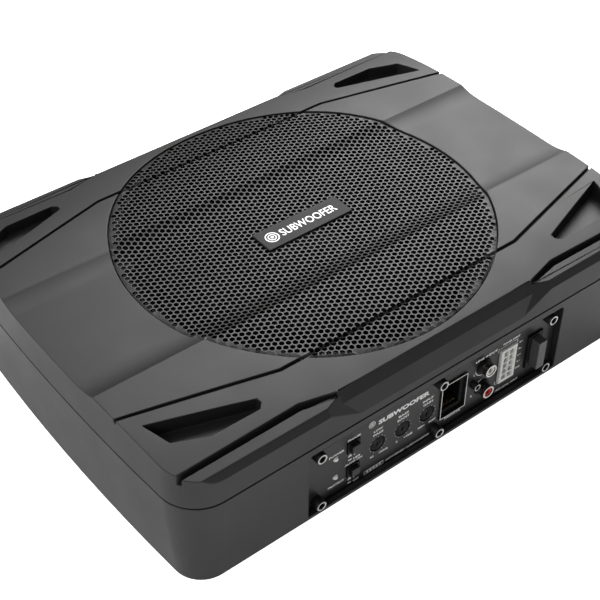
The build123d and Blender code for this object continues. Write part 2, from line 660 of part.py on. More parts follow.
# socket-head screws through the panel plate, heads outside it:
# (label, places, head radius, head height, shank radius, shank length, half the key size)
for label, places, head_r, head_h, shank_r, shank_l, key in (
        ("panel_screws", PANEL_SCREWS, 3.5, 5.5, 2.0, 6.8, 1.6),
        ("block_screw", [BLOCK_SCREW], 2.6, 4.2, 1.5, 7.0, 1.2)):
    with BuildPart() as screws:
        with BuildSketch(FRONT.offset(-PANEL_Y)):
            with Locations(*places):
                Circle(head_r)
        extrude(amount=head_h)
        chamfer(screws.edges().filter_by(GeomType.CIRCLE).group_by(Axis.Y)[0], 0.45)
        with BuildSketch(FRONT.offset(-PANEL_Y + head_h)):
            with Locations(*places):
                RegularPolygon(key, 6, major_radius=False)
        extrude(amount=-head_h * 0.6, mode=Mode.SUBTRACT)
        with BuildSketch(FRONT.offset(-PANEL_Y)):
            with Locations(*places):
                Circle(shank_r)
        extrude(amount=-shank_l)
    screws.part.label = label
    export_step(screws.part, f"parts/{label}.step")

for label, (x, z) in zip(("power_led", "protect_led"), LEDS):
    with BuildPart() as led:
        with BuildSketch(FRONT.offset(120.1)):
            with Locations((x, z)):
                Circle(LED_R)
        extrude(amount=-8.1)
        with BuildSketch(FRONT.offset(118.2)):
            with Locations((x, z)):
                Circle(LED_R + 0.4)
        extrude(amount=-1.2)
        with Locations((x, -119.9, z)):
            Sphere(LED_R - 0.1, arc_size1=-90, arc_size2=90)
    led.part.label = label
    export_step(led.part, f"parts/{label}.step")

with BuildPart() as switch_bodies:
    with BuildSketch(FRONT.offset(121.2)):
        with Locations(*SWITCHES):
            Rectangle(8.6, 8.6)
    extrude(amount=-3.1)
    with BuildSketch(FRONT.offset(118.1)):
        with Locations(*SWITCHES):
            Rectangle(9.6, 9.6)
    extrude(amount=-12.1)
    with BuildSketch(FRONT.offset(122)):
        with Locations(*SWITCHES):
            Rectangle(5.8, 5.8)
    extrude(amount=-14.5, mode=Mode.SUBTRACT)

switch_bodies.part.label = "switch_bodies"
export_step(switch_bodies.part, "parts/switch_bodies.step")

for label, (x, z) in zip(("phase_button", "input_button"), SWITCHES):
    with BuildPart() as button:
        with BuildSketch(FRONT.offset(123.6)):
            with Locations((x, z)):
                RectangleRounded(5.7, 5.7, 0.5)
        extrude(amount=-13.6)
        chamfer(button.faces().sort_by(Axis.Y)[0].edges(), 0.3)
    button.part.label = label
    export_step(button.part, f"parts/{label}.step")

with BuildPart() as pot_bodies:
    with BuildSketch(FRONT.offset(118.2)):
        with Locations(*KNOBS):
            Rectangle(10.0, 11.0)
    extrude(amount=-8.0)
    with BuildSketch(FRONT.offset(119)):
        with Locations(*KNOBS):
            Circle(2.05)
    extrude(amount=-7.0, mode=Mode.SUBTRACT)

pot_bodies.part.label = "pot_bodies"
export_step(pot_bodies.part, "parts/pot_bodies.step")

for label, (x, z) in zip(("gain_knob", "crossover_knob", "boost_knob"), KNOBS):
    with BuildPart() as knob:
        with BuildSketch(FRONT.offset(KNOB_FRONT)):
            with Locations((x, z)):
                Circle(KNOB_R)
                with PolarLocations(KNOB_R + 0.15, 18):
                    Circle(0.45, mode=Mode.SUBTRACT)
        extrude(amount=-(KNOB_FRONT - 118.6))
        with BuildSketch(FRONT.offset(KNOB_FRONT)):
            with Locations((x, z)):
                Rectangle(0.9, 7.0)
        extrude(amount=-0.7, mode=Mode.SUBTRACT)
        with BuildSketch(FRONT.offset(118.6)):
            with Locations((x, z)):
                Circle(2.0)
        extrude(amount=-5.6)
    knob.part.label = label
    export_step(knob.part, f"parts/{label}.step")

with BuildPart() as remote_shell:
    with BuildSketch(FRONT.offset(121.5)):
        with Locations((REMOTE_X, REMOTE_Z)):
            Rectangle(REMOTE_W, REMOTE_H)
            Rectangle(REMOTE_W - 1.0, REMOTE_H - 1.0, mode=Mode.SUBTRACT)
    extrude(amount=-15.5)

remote_shell.part.label = "remote_shell"
export_step(remote_shell.part, "parts/remote_shell.step")

with BuildPart() as remote_insert:
    with BuildSketch(FRONT.offset(119.2)):
        with Locations((REMOTE_X, REMOTE_Z)):
            Rectangle(REMOTE_W - 1.1, REMOTE_H - 1.1)
    extrude(amount=-13.0)
    with BuildSketch(FRONT.offset(119.2)):
        with Locations((REMOTE_X, REMOTE_Z - 0.5)):
            Rectangle(13.0, 17.0)
        with Locations((REMOTE_X, REMOTE_Z + 9.0)):
            Rectangle(6.0, 4.0)
    extrude(amount=-10.5, mode=Mode.SUBTRACT)

remote_insert.part.label = "remote_insert"
export_step(remote_insert.part, "parts/remote_insert.step")

with BuildPart() as remote_contacts:
    with BuildSketch(FRONT.offset(117.5)):
        with Locations((REMOTE_X, REMOTE_Z - 7.6)):
            with GridLocations(1.3, 1, 8, 1):
                Rectangle(0.5, 0.8)
    extrude(amount=-8.8)

remote_contacts.part.label = "remote_contacts"
export_step(remote_contacts.part, "parts/remote_contacts.step")

with BuildPart() as rca_block:
    with BuildSketch(FRONT.offset(118.2)):
        with Locations((34.0, (RCA_Z[0] + RCA_Z[1]) / 2)):
            Rectangle(18.4, 29.6)
    extrude(amount=-12.0)
    with BuildSketch(FRONT.offset(121.3)):
        with Locations(*RCA):
            Circle(5.2)
    extrude(amount=-4.0)
    with BuildSketch(FRONT.offset(122)):
        with Locations(*RCA):
            Circle(RCA_NECK_R + 0.02)
    extrude(amount=-11.0, mode=Mode.SUBTRACT)
    with BuildSketch(FRONT.offset(122)):
        with Locations(BLOCK_SCREW):
            Circle(1.55)
    extrude(amount=-9.5, mode=Mode.SUBTRACT)

rca_block.part.label = "rca_block"
export_step(rca_block.part, "parts/rca_block.step")

with BuildPart() as rca_shells:
    with BuildSketch(FRONT.offset(126.2)):
        with Locations(*RCA):
            Circle(RCA_R)
    extrude(amount=-(126.2 + RCA_ROOT_Y))
    with BuildSketch(FRONT.offset(-RCA_ROOT_Y)):
        with Locations(*RCA):
            Circle(RCA_NECK_R)
    extrude(amount=-10.5)
    with BuildSketch(FRONT.offset(126.2)):
        with Locations(*RCA):
            Circle(RCA_BORE)
    extrude(amount=-15.2, mode=Mode.SUBTRACT)

rca_shells.part.label = "rca_shells"
export_step(rca_shells.part, "parts/rca_shells.step")

for label, (x, z) in zip(("rca_insert_white", "rca_insert_red"), RCA):
    with BuildPart() as insert:
        with BuildSketch(FRONT.offset(125.6)):
            with Locations((x, z)):
                Circle(RCA_BORE - 0.03)
                Circle(1.62, mode=Mode.SUBTRACT)
        extrude(amount=-14.6)
    insert.part.label = label
    export_step(insert.part, f"parts/{label}.step")

with BuildPart() as rca_contacts:
    with BuildSketch(FRONT.offset(124.6)):
        with Locations(*RCA):
            Circle(1.6)
            Circle(1.15, mode=Mode.SUBTRACT)
    extrude(amount=-13.6)

rca_contacts.part.label = "rca_contacts"
export_step(rca_contacts.part, "parts/rca_contacts.step")

with BuildPart() as power_header:
    with BuildSketch(FRONT.offset(122.0)):
        with Locations((POWER_X, POWER_Z)):
            Rectangle(POWER_W, POWER_H)
            with GridLocations(POWER_PITCH, POWER_PITCH, 2, 5):
                RectangleRounded(3.7, 3.7, 0.4, mode=Mode.SUBTRACT)
    extrude(amount=-1.3)
    with BuildSketch(FRONT.offset(120.7)):
        with Locations((POWER_X, POWER_Z)):
            Rectangle(POWER_W, POWER_H)
            with GridLocations(POWER_PITCH, POWER_PITCH, 2, 5):
                Rectangle(1.7, 1.7, mode=Mode.SUBTRACT)
    extrude(amount=-8.7)
    with BuildSketch(FRONT.offset(112.0)):
        with Locations((POWER_X, POWER_Z)):
            Rectangle(POWER_W, POWER_H)
    extrude(amount=-5.0)

power_header.part.label = "power_header"
export_step(power_header.part, "parts/power_header.step")

with BuildPart() as power_pins:
    with BuildSketch(FRONT.offset(119.5)):
        with Locations((POWER_X, POWER_Z)):
            with GridLocations(POWER_PITCH, POWER_PITCH, 2, 5):
                Rectangle(1.1, 1.1)
    extrude(amount=-7.5)

power_pins.part.label = "power_pins"
export_step(power_pins.part, "parts/power_pins.step")

with BuildPart() as fuse_holder:
    with BuildSketch(FRONT.offset(121.6)):
        with Locations((FUSE_X, FUSE_Z)):
            Rectangle(HOLDER_W, HOLDER_H)
            Rectangle(FUSE_W + 0.12, FUSE_H + 0.12, mode=Mode.SUBTRACT)
    extrude(amount=-3.6)
    with BuildSketch(FRONT.offset(118.0)):
        with Locations((FUSE_X, FUSE_Z)):
            Rectangle(HOLDER_W, HOLDER_H)
            with GridLocations(1, 13.0, 1, 2):
                Rectangle(0.84, 5.34, mode=Mode.SUBTRACT)
    extrude(amount=-12.0)

fuse_holder.part.label = "fuse_holder"
export_step(fuse_holder.part, "parts/fuse_holder.step")

with BuildPart() as blade_fuse:
    with BuildSketch(FRONT.offset(FUSE_FRONT)):
        with Locations((FUSE_X, FUSE_Z)):
            RectangleRounded(FUSE_W, FUSE_H, 0.4)
    extrude(amount=-(FUSE_FRONT - 118.1))
    with BuildSketch(FRONT.offset(118.1)):
        with Locations((FUSE_X, FUSE_Z)):
            with GridLocations(1, 13.0, 1, 2):
                Rectangle(0.7, 5.2)
    extrude(amount=-9.0)

blade_fuse.part.label = "blade_fuse"
export_step(blade_fuse.part, "parts/blade_fuse.step")

# ======================== amplifier board ===================================================
with BuildPart() as circuit_board:
    with BuildSketch(Plane.XY.offset(BOARD_Z)):
        with Locations((0, -91)):
            Rectangle(172, 44)
        with Locations(*[(x, y) for x in (-80, 80) for y in (-108, -74)]):
            Circle(1.5, mode=Mode.SUBTRACT)
    extrude(amount=BOARD_T)

circuit_board.part.label = "circuit_board"
export_step(circuit_board.part, "parts/circuit_board.step")

with BuildPart() as board_screws:
    with BuildSketch(Plane.XY.offset(BOARD_Z + BOARD_T)):
        with Locations(*[(x, y) for x in (-80, 80) for y in (-108, -74)]):
            Circle(2.4)
    extrude(amount=1.8)
    with BuildSketch(Plane.XY.offset(BOARD_Z + BOARD_T)):
        with Locations(*[(x, y) for x in (-80, 80) for y in (-108, -74)]):
            Circle(1.25)
    extrude(amount=-4.2)

board_screws.part.label = "board_screws"
export_step(board_screws.part, "parts/board_screws.step")

DECK = BOARD_Z + BOARD_T
with BuildPart() as heat_sink:
    with BuildSketch(Plane.XY.offset(DECK)):
        with Locations((-42, -79.5)):
            Rectangle(60, 3)
        with Locations((-42, -74.5)):
            with GridLocations(6.4, 1, 10, 1):
                Rectangle(1.4, 7.0)
    extrude(amount=24.0)

heat_sink.part.label = "heat_sink"
export_step(heat_sink.part, "parts/heat_sink.step")

with BuildPart() as power_transistors:
    with BuildSketch(Plane.XY.offset(DECK + 4)):
        with Locations((-42, -83.3)):
            with GridLocations(14.0, 1, 4, 1):
                Rectangle(10.0, 4.6)
    extrude(amount=15.0)

power_transistors.part.label = "power_transistors"
export_step(power_transistors.part, "parts/power_transistors.step")

with BuildPart() as capacitors:
    with BuildSketch(Plane.XY.offset(DECK)):
        with Locations((41, -84)):
            with GridLocations(14.5, 1, 4, 1):
                Circle(6.3)
    extrude(amount=22.0)
    chamfer(capacitors.edges().filter_by(GeomType.CIRCLE).group_by(Axis.Z)[-1], 0.8)

capacitors.part.label = "capacitors"
export_step(capacitors.part, "parts/capacitors.step")

with BuildPart() as toroid:
    with BuildSketch(Plane.XZ):
        with Locations((8.4, DECK + 4.2)):
            Circle(4.0)
    revolve(axis=Axis.Z)

toroid.part.position = (-1, -88, 0)
toroid.part.label = "toroid"
export_step(toroid.part, "parts/toroid.step")
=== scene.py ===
import json
import math

import bmesh
import bpy
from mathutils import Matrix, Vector
from mathutils.bvhtree import BVHTree
from mathutils.geometry import delaunay_2d_cdt

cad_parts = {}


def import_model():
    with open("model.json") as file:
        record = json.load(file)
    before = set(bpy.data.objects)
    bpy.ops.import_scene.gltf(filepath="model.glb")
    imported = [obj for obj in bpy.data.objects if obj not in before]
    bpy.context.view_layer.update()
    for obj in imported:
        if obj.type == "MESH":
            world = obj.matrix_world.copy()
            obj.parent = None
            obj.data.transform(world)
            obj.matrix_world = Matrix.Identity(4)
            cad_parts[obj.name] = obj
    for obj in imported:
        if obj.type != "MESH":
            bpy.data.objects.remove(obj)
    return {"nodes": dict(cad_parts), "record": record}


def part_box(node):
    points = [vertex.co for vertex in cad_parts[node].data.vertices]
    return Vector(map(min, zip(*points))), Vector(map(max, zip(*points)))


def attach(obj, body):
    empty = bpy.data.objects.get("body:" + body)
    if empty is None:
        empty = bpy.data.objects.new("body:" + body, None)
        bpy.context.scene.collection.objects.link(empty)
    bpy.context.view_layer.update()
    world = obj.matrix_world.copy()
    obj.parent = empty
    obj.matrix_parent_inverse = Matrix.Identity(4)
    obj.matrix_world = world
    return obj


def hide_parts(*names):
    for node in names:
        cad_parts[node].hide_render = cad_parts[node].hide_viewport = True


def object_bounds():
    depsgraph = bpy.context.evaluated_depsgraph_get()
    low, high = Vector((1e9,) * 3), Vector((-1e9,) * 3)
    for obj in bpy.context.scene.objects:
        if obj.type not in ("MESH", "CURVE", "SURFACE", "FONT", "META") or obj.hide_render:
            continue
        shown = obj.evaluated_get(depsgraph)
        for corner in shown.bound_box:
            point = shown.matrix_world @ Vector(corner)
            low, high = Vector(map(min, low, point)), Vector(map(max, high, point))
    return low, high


# A slim powered subwoofer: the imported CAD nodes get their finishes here, and the grille, the screws
# and the printing get pieces of their own. Lengths are metres; MM turns millimetres into them.
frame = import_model()
cad_low, cad_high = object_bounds()
NODES = frame["nodes"]
MM = 0.001


# ---- camera, lights and floor ----------------------------------------------------------------
AIM = Vector((-44.4 * MM, -54.3 * MM, cad_high.z))
CAMERA_AZIMUTH, CAMERA_ELEVATION = -127.98, 42.14      # from +X, like the lights
CAMERA_DISTANCE = 708.3 * MM
FOCAL_LENGTH = 78.28

# name: (azimuth from +X, elevation, distance, size, watts), each aimed at the middle of the top
LIGHTS = {
    "key": (45, 45, 1.7, (1.1, 0.7), 19.5),
    "key_low": (30, 30, 1.7, (1.1, 0.7), 11.5),
    "back_left": (135, 25, 1.7, (1.1, 0.7), 11.0),
    "side_left": (200, 35, 1.7, (1.1, 0.7), 7.5),
    "front": (250, 12, 1.7, (1.1, 0.4), 2.5),
    "overhead": (0, 90, 1.6, (1.3, 1.3), 2.2),
}
CLIP_NEAR, CLIP_FAR = 0.01, 50.0
FLOOR_RADIUS, FLOOR_SIDES = 3.0, 96
FLOOR_DROP = 0.05 * MM               # a hair below the underside, so that no plane is shared
FLOOR_COLOUR, FLOOR_ROUGHNESS = (0.92, 0.92, 0.92, 1.0), 0.9
WHITE = (1.0, 1.0, 1.0, 1.0)
# strength to the eye, and strength as a light
FLOOR_SEEN, FLOOR_LIGHT = 1.2, 0.38
WORLD_SEEN, WORLD_LIGHT = 1.0, 0.02


def direction(azimuth, elevation):
    """The unit vector at this azimuth from +X and this elevation, in degrees."""
    turn, rise = math.radians(azimuth), math.radians(elevation)
    level = math.cos(rise)
    return Vector((math.cos(turn) * level, math.sin(turn) * level, math.sin(rise)))


def place_aimed(name, data, location, target):
    """Puts a camera or a light in the scene, looking at target."""
    made = bpy.data.objects.new(name, data)
    made.location = location
    made.rotation_euler = (target - location).to_track_quat("-Z", "Y").to_euler()
    bpy.context.scene.collection.objects.link(made)
    return made


def camera():
    data = bpy.data.cameras.new("camera")
    data.lens = FOCAL_LENGTH
    data.clip_start, data.clip_end = CLIP_NEAR, CLIP_FAR
    place = AIM + direction(CAMERA_AZIMUTH, CAMERA_ELEVATION) * CAMERA_DISTANCE
    bpy.context.scene.camera = place_aimed("camera", data, place, AIM)


def lights():
    target = Vector((0.0, 0.0, cad_high.z))
    for name, (azimuth, elevation, distance, size, watts) in LIGHTS.items():
        data = bpy.data.lights.new(name, "AREA")
        data.shape = "RECTANGLE"
        data.size, data.size_y = size
        data.energy = watts
        place_aimed(name, data, target + distance * direction(azimuth, elevation), target)


def seen_and_light(tree, seen, light):
    """A strength that is one number to the eye and another as a light."""
    ray = tree.nodes.new("ShaderNodeLightPath")
    level = tree.nodes.new("ShaderNodeMapRange")
    level.inputs["To Min"].default_value = light
    level.inputs["To Max"].default_value = seen
    tree.links.new(ray.outputs["Is Camera Ray"], level.inputs["Value"])
    return level.outputs["Result"]


def world():
    """Pale to the eye, but dim as a light, so that the panels keep their dark sides."""
    made = bpy.data.worlds.new("world")
    bpy.context.scene.world = made
    made.use_nodes = True
    tree = made.node_tree
    background = tree.nodes["Background"]
    tree.links.new(seen_and_light(tree, WORLD_SEEN, WORLD_LIGHT), background.inputs["Strength"])
    background.inputs["Color"].default_value = WHITE


def floor():
    mesh = bpy.data.meshes.new("floor")
    work = bmesh.new()
    bmesh.ops.create_circle(work, cap_ends=True, radius=FLOOR_RADIUS, segments=FLOOR_SIDES)
    work.to_mesh(mesh)
    work.free()
    made = bpy.data.objects.new("floor", mesh)
    made.location.z = cad_low.z - FLOOR_DROP
    bpy.context.scene.collection.objects.link(made)
    finish = bpy.data.materials.new("floor_white")
    finish.use_nodes = True
    tree = finish.node_tree
    bsdf = tree.nodes["Principled BSDF"]
    bsdf.inputs["Base Color"].default_value = FLOOR_COLOUR
    bsdf.inputs["Roughness"].default_value = FLOOR_ROUGHNESS
    bsdf.inputs["Specular IOR Level"].default_value = 0.0
    bsdf.inputs["Emission Color"].default_value = WHITE
    tree.links.new(seen_and_light(tree, FLOOR_SEEN, FLOOR_LIGHT), bsdf.inputs["Emission Strength"])
    mesh.materials.append(finish)


# ---- materials -------------------------------------------------------------------------------
NOISE_LOW, NOISE_HIGH = 0.25, 0.75           # nearly all of a noise texture lies between these
HIGHLIGHT_EDGE_START, HIGHLIGHT_EDGE_END = 0.52, 0.62            # pointiness from which the painted edge highlight shows, and shows fully
HIGHLIGHT_FACING_START, HIGHLIGHT_FACING_END = 0.5, 0.9            # how far a face turns to -Y before the painted front highlight starts, and where it is full
WAVES_PER_UNIT = 20.0 / (2.0 * math.pi)      # of Blender's wave texture at scale 1


class Finish:
    """One procedural material: a Principled node with helpers that add detail to it."""

    def __init__(self, name, colour, roughness, metallic=0.0):
        self.name = name
        self.material = bpy.data.materials.new(name)
        self.material.use_nodes = True
        self.nodes = self.material.node_tree.nodes
        self.links = self.material.node_tree.links
        self.bsdf = self.nodes["Principled BSDF"]
        self.bsdf.inputs["Metallic"].default_value = metallic
        self.place = self.nodes.new("ShaderNodeTexCoord").outputs["Object"]
        self.colour = self.constant(colour)
        self.roughness = self.value(roughness)
        self.heights = []

    def constant(self, colour):
        node = self.nodes.new("ShaderNodeRGB")
        node.outputs[0].default_value = (*colour, 1.0)
        return node.outputs[0]

    def value(self, number):
        node = self.nodes.new("ShaderNodeValue")
        node.outputs[0].default_value = number
        return node.outputs[0]

    def math(self, operation, a, b=None):
        node = self.nodes.new("ShaderNodeMath")
        node.operation = operation
        for socket, item in zip(node.inputs, (a, b)):
            if item is None:
                continue
            if isinstance(item, (int, float)):
                socket.default_value = item
            else:
                self.links.new(item, socket)
        return node.outputs[0]

    def stretched(self, stretch):
        node = self.nodes.new("ShaderNodeMapping")
        node.inputs["Scale"].default_value = stretch
        self.links.new(self.place, node.inputs["Vector"])
        return node.outputs[0]

    def noise(self, size, detail=2.0, stretch=(1.0, 1.0, 1.0)):
        """Noise from 0 to 1 whose lumps are about size across."""
        node = self.nodes.new("ShaderNodeTexNoise")
        node.inputs["Scale"].default_value = 1.0 / size
        node.inputs["Detail"].default_value = detail
        self.links.new(self.stretched(stretch), node.inputs["Vector"])
        return node.outputs["Fac"]

    def spread(self, factor, low, high, start=0.0, end=1.0):
        node = self.nodes.new("ShaderNodeMapRange")
        node.inputs["From Min"].default_value = start
        node.inputs["From Max"].default_value = end
        node.inputs["To Min"].default_value = low
        node.inputs["To Max"].default_value = high
        self.links.new(factor, node.inputs["Value"])
        return node.outputs["Result"]

    def mix(self, factor, colour):
        """The colour so far goes to this one where factor is 1."""
        node = self.nodes.new("ShaderNodeMix")
        node.data_type = "RGBA"
        self.links.new(factor, node.inputs["Factor"])
        self.links.new(self.colour, node.inputs["A"])
        node.inputs["B"].default_value = (*colour, 1.0)
        self.colour = node.outputs["Result"]
        return self

    def mottle(self, amount, size, detail=3.0, stretch=(1.0, 1.0, 1.0)):
        """Slightly uneven brightness."""
        level = self.spread(self.noise(size, detail, stretch), 1.0 - amount, 1.0 + amount,
                            NOISE_LOW, NOISE_HIGH)
        node = self.nodes.new("ShaderNodeVectorMath")
        node.operation = "SCALE"
        self.links.new(self.colour, node.inputs[0])
        self.links.new(level, node.inputs["Scale"])
        self.colour = node.outputs[0]
        return self

    def uneven_gloss(self, amount, size, stretch=(1.0, 1.0, 1.0)):
        change = self.spread(self.noise(size, 3.0, stretch), -amount, amount, NOISE_LOW, NOISE_HIGH)
        self.roughness = self.math("ADD", self.roughness, change)
        return self

    def grain(self, size, depth, detail=2.0, stretch=(1.0, 1.0, 1.0)):
        """Moulded or cast texture, depth from its valleys to its peaks."""
        self.heights.append((self.noise(size, detail, stretch), depth))
        return self

    def rings(self, pitch, depth, direction="Z"):
        """Fine turned or wound grooves: round Z, or stacked along an axis."""
        node = self.nodes.new("ShaderNodeTexWave")
        if direction == "round":
            node.wave_type = "RINGS"
            node.rings_direction = "Z"
        else:
            node.wave_type = "BANDS"
            node.bands_direction = direction
        node.inputs["Scale"].default_value = 1.0 / (WAVES_PER_UNIT * pitch)
        self.links.new(self.place, node.inputs["Vector"])
        self.heights.append((node.outputs["Fac"], depth))
        return self

    def painted_edge_highlight(self, colour, amount):
        """A little lighter where an edge stands out: a painted highlight along the edges."""
        edge = self.nodes.new("ShaderNodeNewGeometry").outputs["Pointiness"]
        self.mix(self.spread(edge, 0.0, amount, HIGHLIGHT_EDGE_START, HIGHLIGHT_EDGE_END), colour)
        return self

    def painted_front_highlight(self, colour):
        """This colour on the faces that look towards -Y: a painted highlight for the light that these
        faces catch.
        """
        normal = self.nodes.new("ShaderNodeTexCoord").outputs["Normal"]
        split = self.nodes.new("ShaderNodeSeparateXYZ")
        self.links.new(normal, split.inputs[0])
        towards = self.math("MULTIPLY", split.outputs["Y"], -1.0)
        self.mix(self.spread(towards, 0.0, 1.0, HIGHLIGHT_FACING_START, HIGHLIGHT_FACING_END), colour)
        return self

    def set(self, **inputs):
        for name, number in inputs.items():
            self.bsdf.inputs[name.replace("_", " ")].default_value = number
        return self

    def done(self):
        self.links.new(self.colour, self.bsdf.inputs["Base Color"])
        self.links.new(self.roughness, self.bsdf.inputs["Roughness"])
        normal = None
        for height, depth in self.heights:
            bump = self.nodes.new("ShaderNodeBump")
            bump.inputs["Strength"].default_value = 1.0
            bump.inputs["Distance"].default_value = depth
            self.links.new(height, bump.inputs["Height"])
            if normal:
                self.links.new(normal, bump.inputs["Normal"])
            normal = bump.outputs["Normal"]
        if normal:
            self.links.new(normal, self.bsdf.inputs["Normal"])
        return self.material


COVER_GREY = (0.017, 0.017, 0.0165)


def moulded(name, colour, roughness, grain_size=0.6 * MM, grain_depth=0.032 * MM):
    """Injection-moulded plastic with a fine spark-eroded texture."""
    return (Finish(name, colour, roughness)
            .mottle(0.06, 45 * MM)
            .mottle(0.13, 1.1 * MM)
            .uneven_gloss(0.03, 25 * MM)
            .grain(grain_size, grain_depth).grain(3 * MM, 0.006 * MM))


def plain_metal(name, colour, roughness, streak=(1.0, 1.0, 1.0)):
    """Bare metal, slightly uneven, with its fine marks drawn out by streak."""
    return (Finish(name, colour, roughness, metallic=1.0)
            .mottle(0.08, 6 * MM).uneven_gloss(0.08, 1.5 * MM, streak)
            .grain(0.3 * MM, 0.0012 * MM, stretch=streak))


def make_materials():
    """Every finish, by the name of its material slot or of the detail it is for."""
    made = [
        # the lighter colour on the edges of the cover and the housing is a painted edge highlight
        moulded("cover_plastic", COVER_GREY, 0.50)
        .painted_edge_highlight((0.04, 0.04, 0.039), 0.5),
        moulded("housing_plastic", COVER_GREY, 0.46)
        .painted_edge_highlight((0.035, 0.035, 0.034), 0.4),
        Finish("gasket_foam", (0.003, 0.003, 0.003), 0.95)
        .mottle(0.3, 0.8 * MM).grain(0.6 * MM, 0.08 * MM).set(Specular_IOR_Level=0.1),
        plain_metal("screw_zinc", (0.10, 0.10, 0.10), 0.50),
        Finish("screw_black", (0.005, 0.005, 0.005), 0.45)
        .mottle(0.15, 2 * MM).uneven_gloss(0.06, 1 * MM).grain(0.25 * MM, 0.004 * MM),
        Finish("grille_metal", (0.030, 0.030, 0.029), 0.46)
        .mottle(0.06, 30 * MM).mottle(0.08, 0.9 * MM)
        .uneven_gloss(0.04, 5 * MM).grain(0.35 * MM, 0.012 * MM),
        Finish("badge_plate", (0.014, 0.014, 0.0137), 0.55)
        .mottle(0.10, 0.6 * MM, stretch=(0.02, 1.0, 1.0)).uneven_gloss(0.05, 0.5 * MM, (0.02, 1, 1))
        .grain(0.25 * MM, 0.004 * MM, stretch=(0.03, 1.0, 1.0)).set(Specular_IOR_Level=0.3),
        Finish("hole_black", (0.003, 0.003, 0.003), 0.8)
        .mottle(0.1, 1 * MM).grain(0.3 * MM, 0.01 * MM).set(Specular_IOR_Level=0.1),
        Finish("basket_steel", (0.003, 0.003, 0.003), 0.7)
        .mottle(0.1, 10 * MM).grain(0.5 * MM, 0.02 * MM).set(Specular_IOR_Level=0.1),
        Finish("surround_rubber", (0.003, 0.003, 0.003), 0.8)
        .mottle(0.08, 6 * MM).rings(1.2 * MM, 0.02 * MM, "round").grain(0.4 * MM, 0.01 * MM)
        .set(Specular_IOR_Level=0.1),
        Finish("cone_paper", (0.004, 0.004, 0.004), 0.9)
        .mottle(0.18, 3 * MM).rings(5 * MM, 0.05 * MM, "round").grain(0.9 * MM, 0.06 * MM)
        .set(Specular_IOR_Level=0.1),
        Finish("cap_gloss", (0.004, 0.004, 0.004), 0.6)
        .mottle(0.05, 15 * MM).uneven_gloss(0.05, 8 * MM).grain(0.6 * MM, 0.006 * MM)
        .set(Specular_IOR_Level=0.15),
        Finish("former_film", (0.42, 0.21, 0.06), 0.3)
        .mottle(0.1, 4 * MM).grain(1.5 * MM, 0.02 * MM),
        Finish("coil_copper", (0.62, 0.24, 0.09), 0.3, metallic=1.0)
        .mottle(0.1, 2 * MM).rings(0.35 * MM, 0.08 * MM, "Z"),
        Finish("spider_cloth", (0.50, 0.40, 0.16), 0.8)
        .mottle(0.15, 2 * MM).grain(0.5 * MM, 0.08 * MM),
        plain_metal("motor_steel", (0.50, 0.50, 0.49), 0.35),
        Finish("ferrite", (0.035, 0.036, 0.038), 0.55)
        .mottle(0.2, 4 * MM).grain(0.5 * MM, 0.03 * MM),
        Finish("panel_plate", (0.014, 0.014, 0.0135), 0.40)
        .mottle(0.08, 20 * MM).mottle(0.08, 0.8 * MM)
        .uneven_gloss(0.04, 8 * MM).grain(0.3 * MM, 0.008 * MM),
        Finish("led_white", (0.86, 0.87, 0.84), 0.25).mottle(0.03, 1.5 * MM)
        .grain(1 * MM, 0.004 * MM),
        moulded("black_moulding", (0.004, 0.004, 0.004), 0.50, 0.3 * MM, 0.006 * MM)
        .set(Specular_IOR_Level=0.22),
        moulded("black_gloss", (0.005, 0.005, 0.005), 0.35, 0.6 * MM, 0.003 * MM),
        # painted reflection: the nickel is dark on its sides and has a painted highlight on the faces
        # towards -Y
        plain_metal("shield_nickel", (0.16, 0.16, 0.155), 0.30)
        .painted_front_highlight((0.80, 0.79, 0.76)),
        plain_metal("contact_gold", (0.50, 0.38, 0.20), 0.38),
        Finish("white_moulding", (0.80, 0.80, 0.77), 0.45).mottle(0.03, 5 * MM)
        .uneven_gloss(0.04, 2 * MM).grain(0.3 * MM, 0.004 * MM),
        Finish("red_moulding", (0.58, 0.012, 0.016), 0.33).mottle(0.06, 2 * MM)
        .grain(0.4 * MM, 0.004 * MM),
        Finish("fuse_grey", (0.060, 0.061, 0.061), 0.34).mottle(0.06, 4 * MM)
        .uneven_gloss(0.04, 3 * MM).grain(0.5 * MM, 0.006 * MM)
        .set(Coat_Weight=0.3, Coat_Roughness=0.2),
        Finish("board_green", (0.010, 0.075, 0.030), 0.3).mottle(0.2, 2.5 * MM)
        .grain(0.8 * MM, 0.03 * MM),
        plain_metal("sink_aluminium", (0.72, 0.72, 0.73), 0.38, (1.0, 1.0, 0.05)),
        Finish("white_print", (0.90, 0.90, 0.88), 0.6).mottle(0.06, 0.7 * MM)
        .grain(0.2 * MM, 0.002 * MM),
        # bright_rim: a painted highlight on the rounded edge of the screw heads
        plain_metal("bright_rim", (0.72, 0.72, 0.71), 0.34),
        # painted shade for the floors of the connector's cells
        Finish("cell_painted_shade", (0.30, 0.30, 0.29), 0.6).mottle(0.06, 1 * MM)
        .grain(0.3 * MM, 0.004 * MM),
        Finish("mark_silver", (0.84, 0.84, 0.83), 0.35, metallic=0.2)
        .mottle(0.04, 1 * MM).grain(0.2 * MM, 0.002 * MM),
    ]
    return {finish.name: finish.done() for finish in made}


# ---- softened edges on the CAD nodes ----------------------------------------------------------
WELD_DISTANCE = 0.002 * MM
FLAT_ANGLE, BEVEL_ANGLE = 0.4, 32             # degrees
BEVEL_SEGMENTS = 3
EVEN_WEIGHT = 80
# node: edge radius in mm
SOFT_EDGES = {
    "top_cover": 0.45, "lower_housing": 0.45, "grille_badge": 0.12, "control_panel": 0.25,
    "phase_button": 0.15, "input_button": 0.15, "switch_bodies": 0.2, "gain_knob": 0.1,
    "crossover_knob": 0.1, "boost_knob": 0.1, "remote_insert": 0.2,
    "rca_block": 0.15, "rca_shells": 0.12, "rca_insert_white": 0.15, "rca_insert_red": 0.15,
    "power_header": 0.15, "fuse_holder": 0.2, "blade_fuse": 0.3, "heat_sink": 0.1,
}


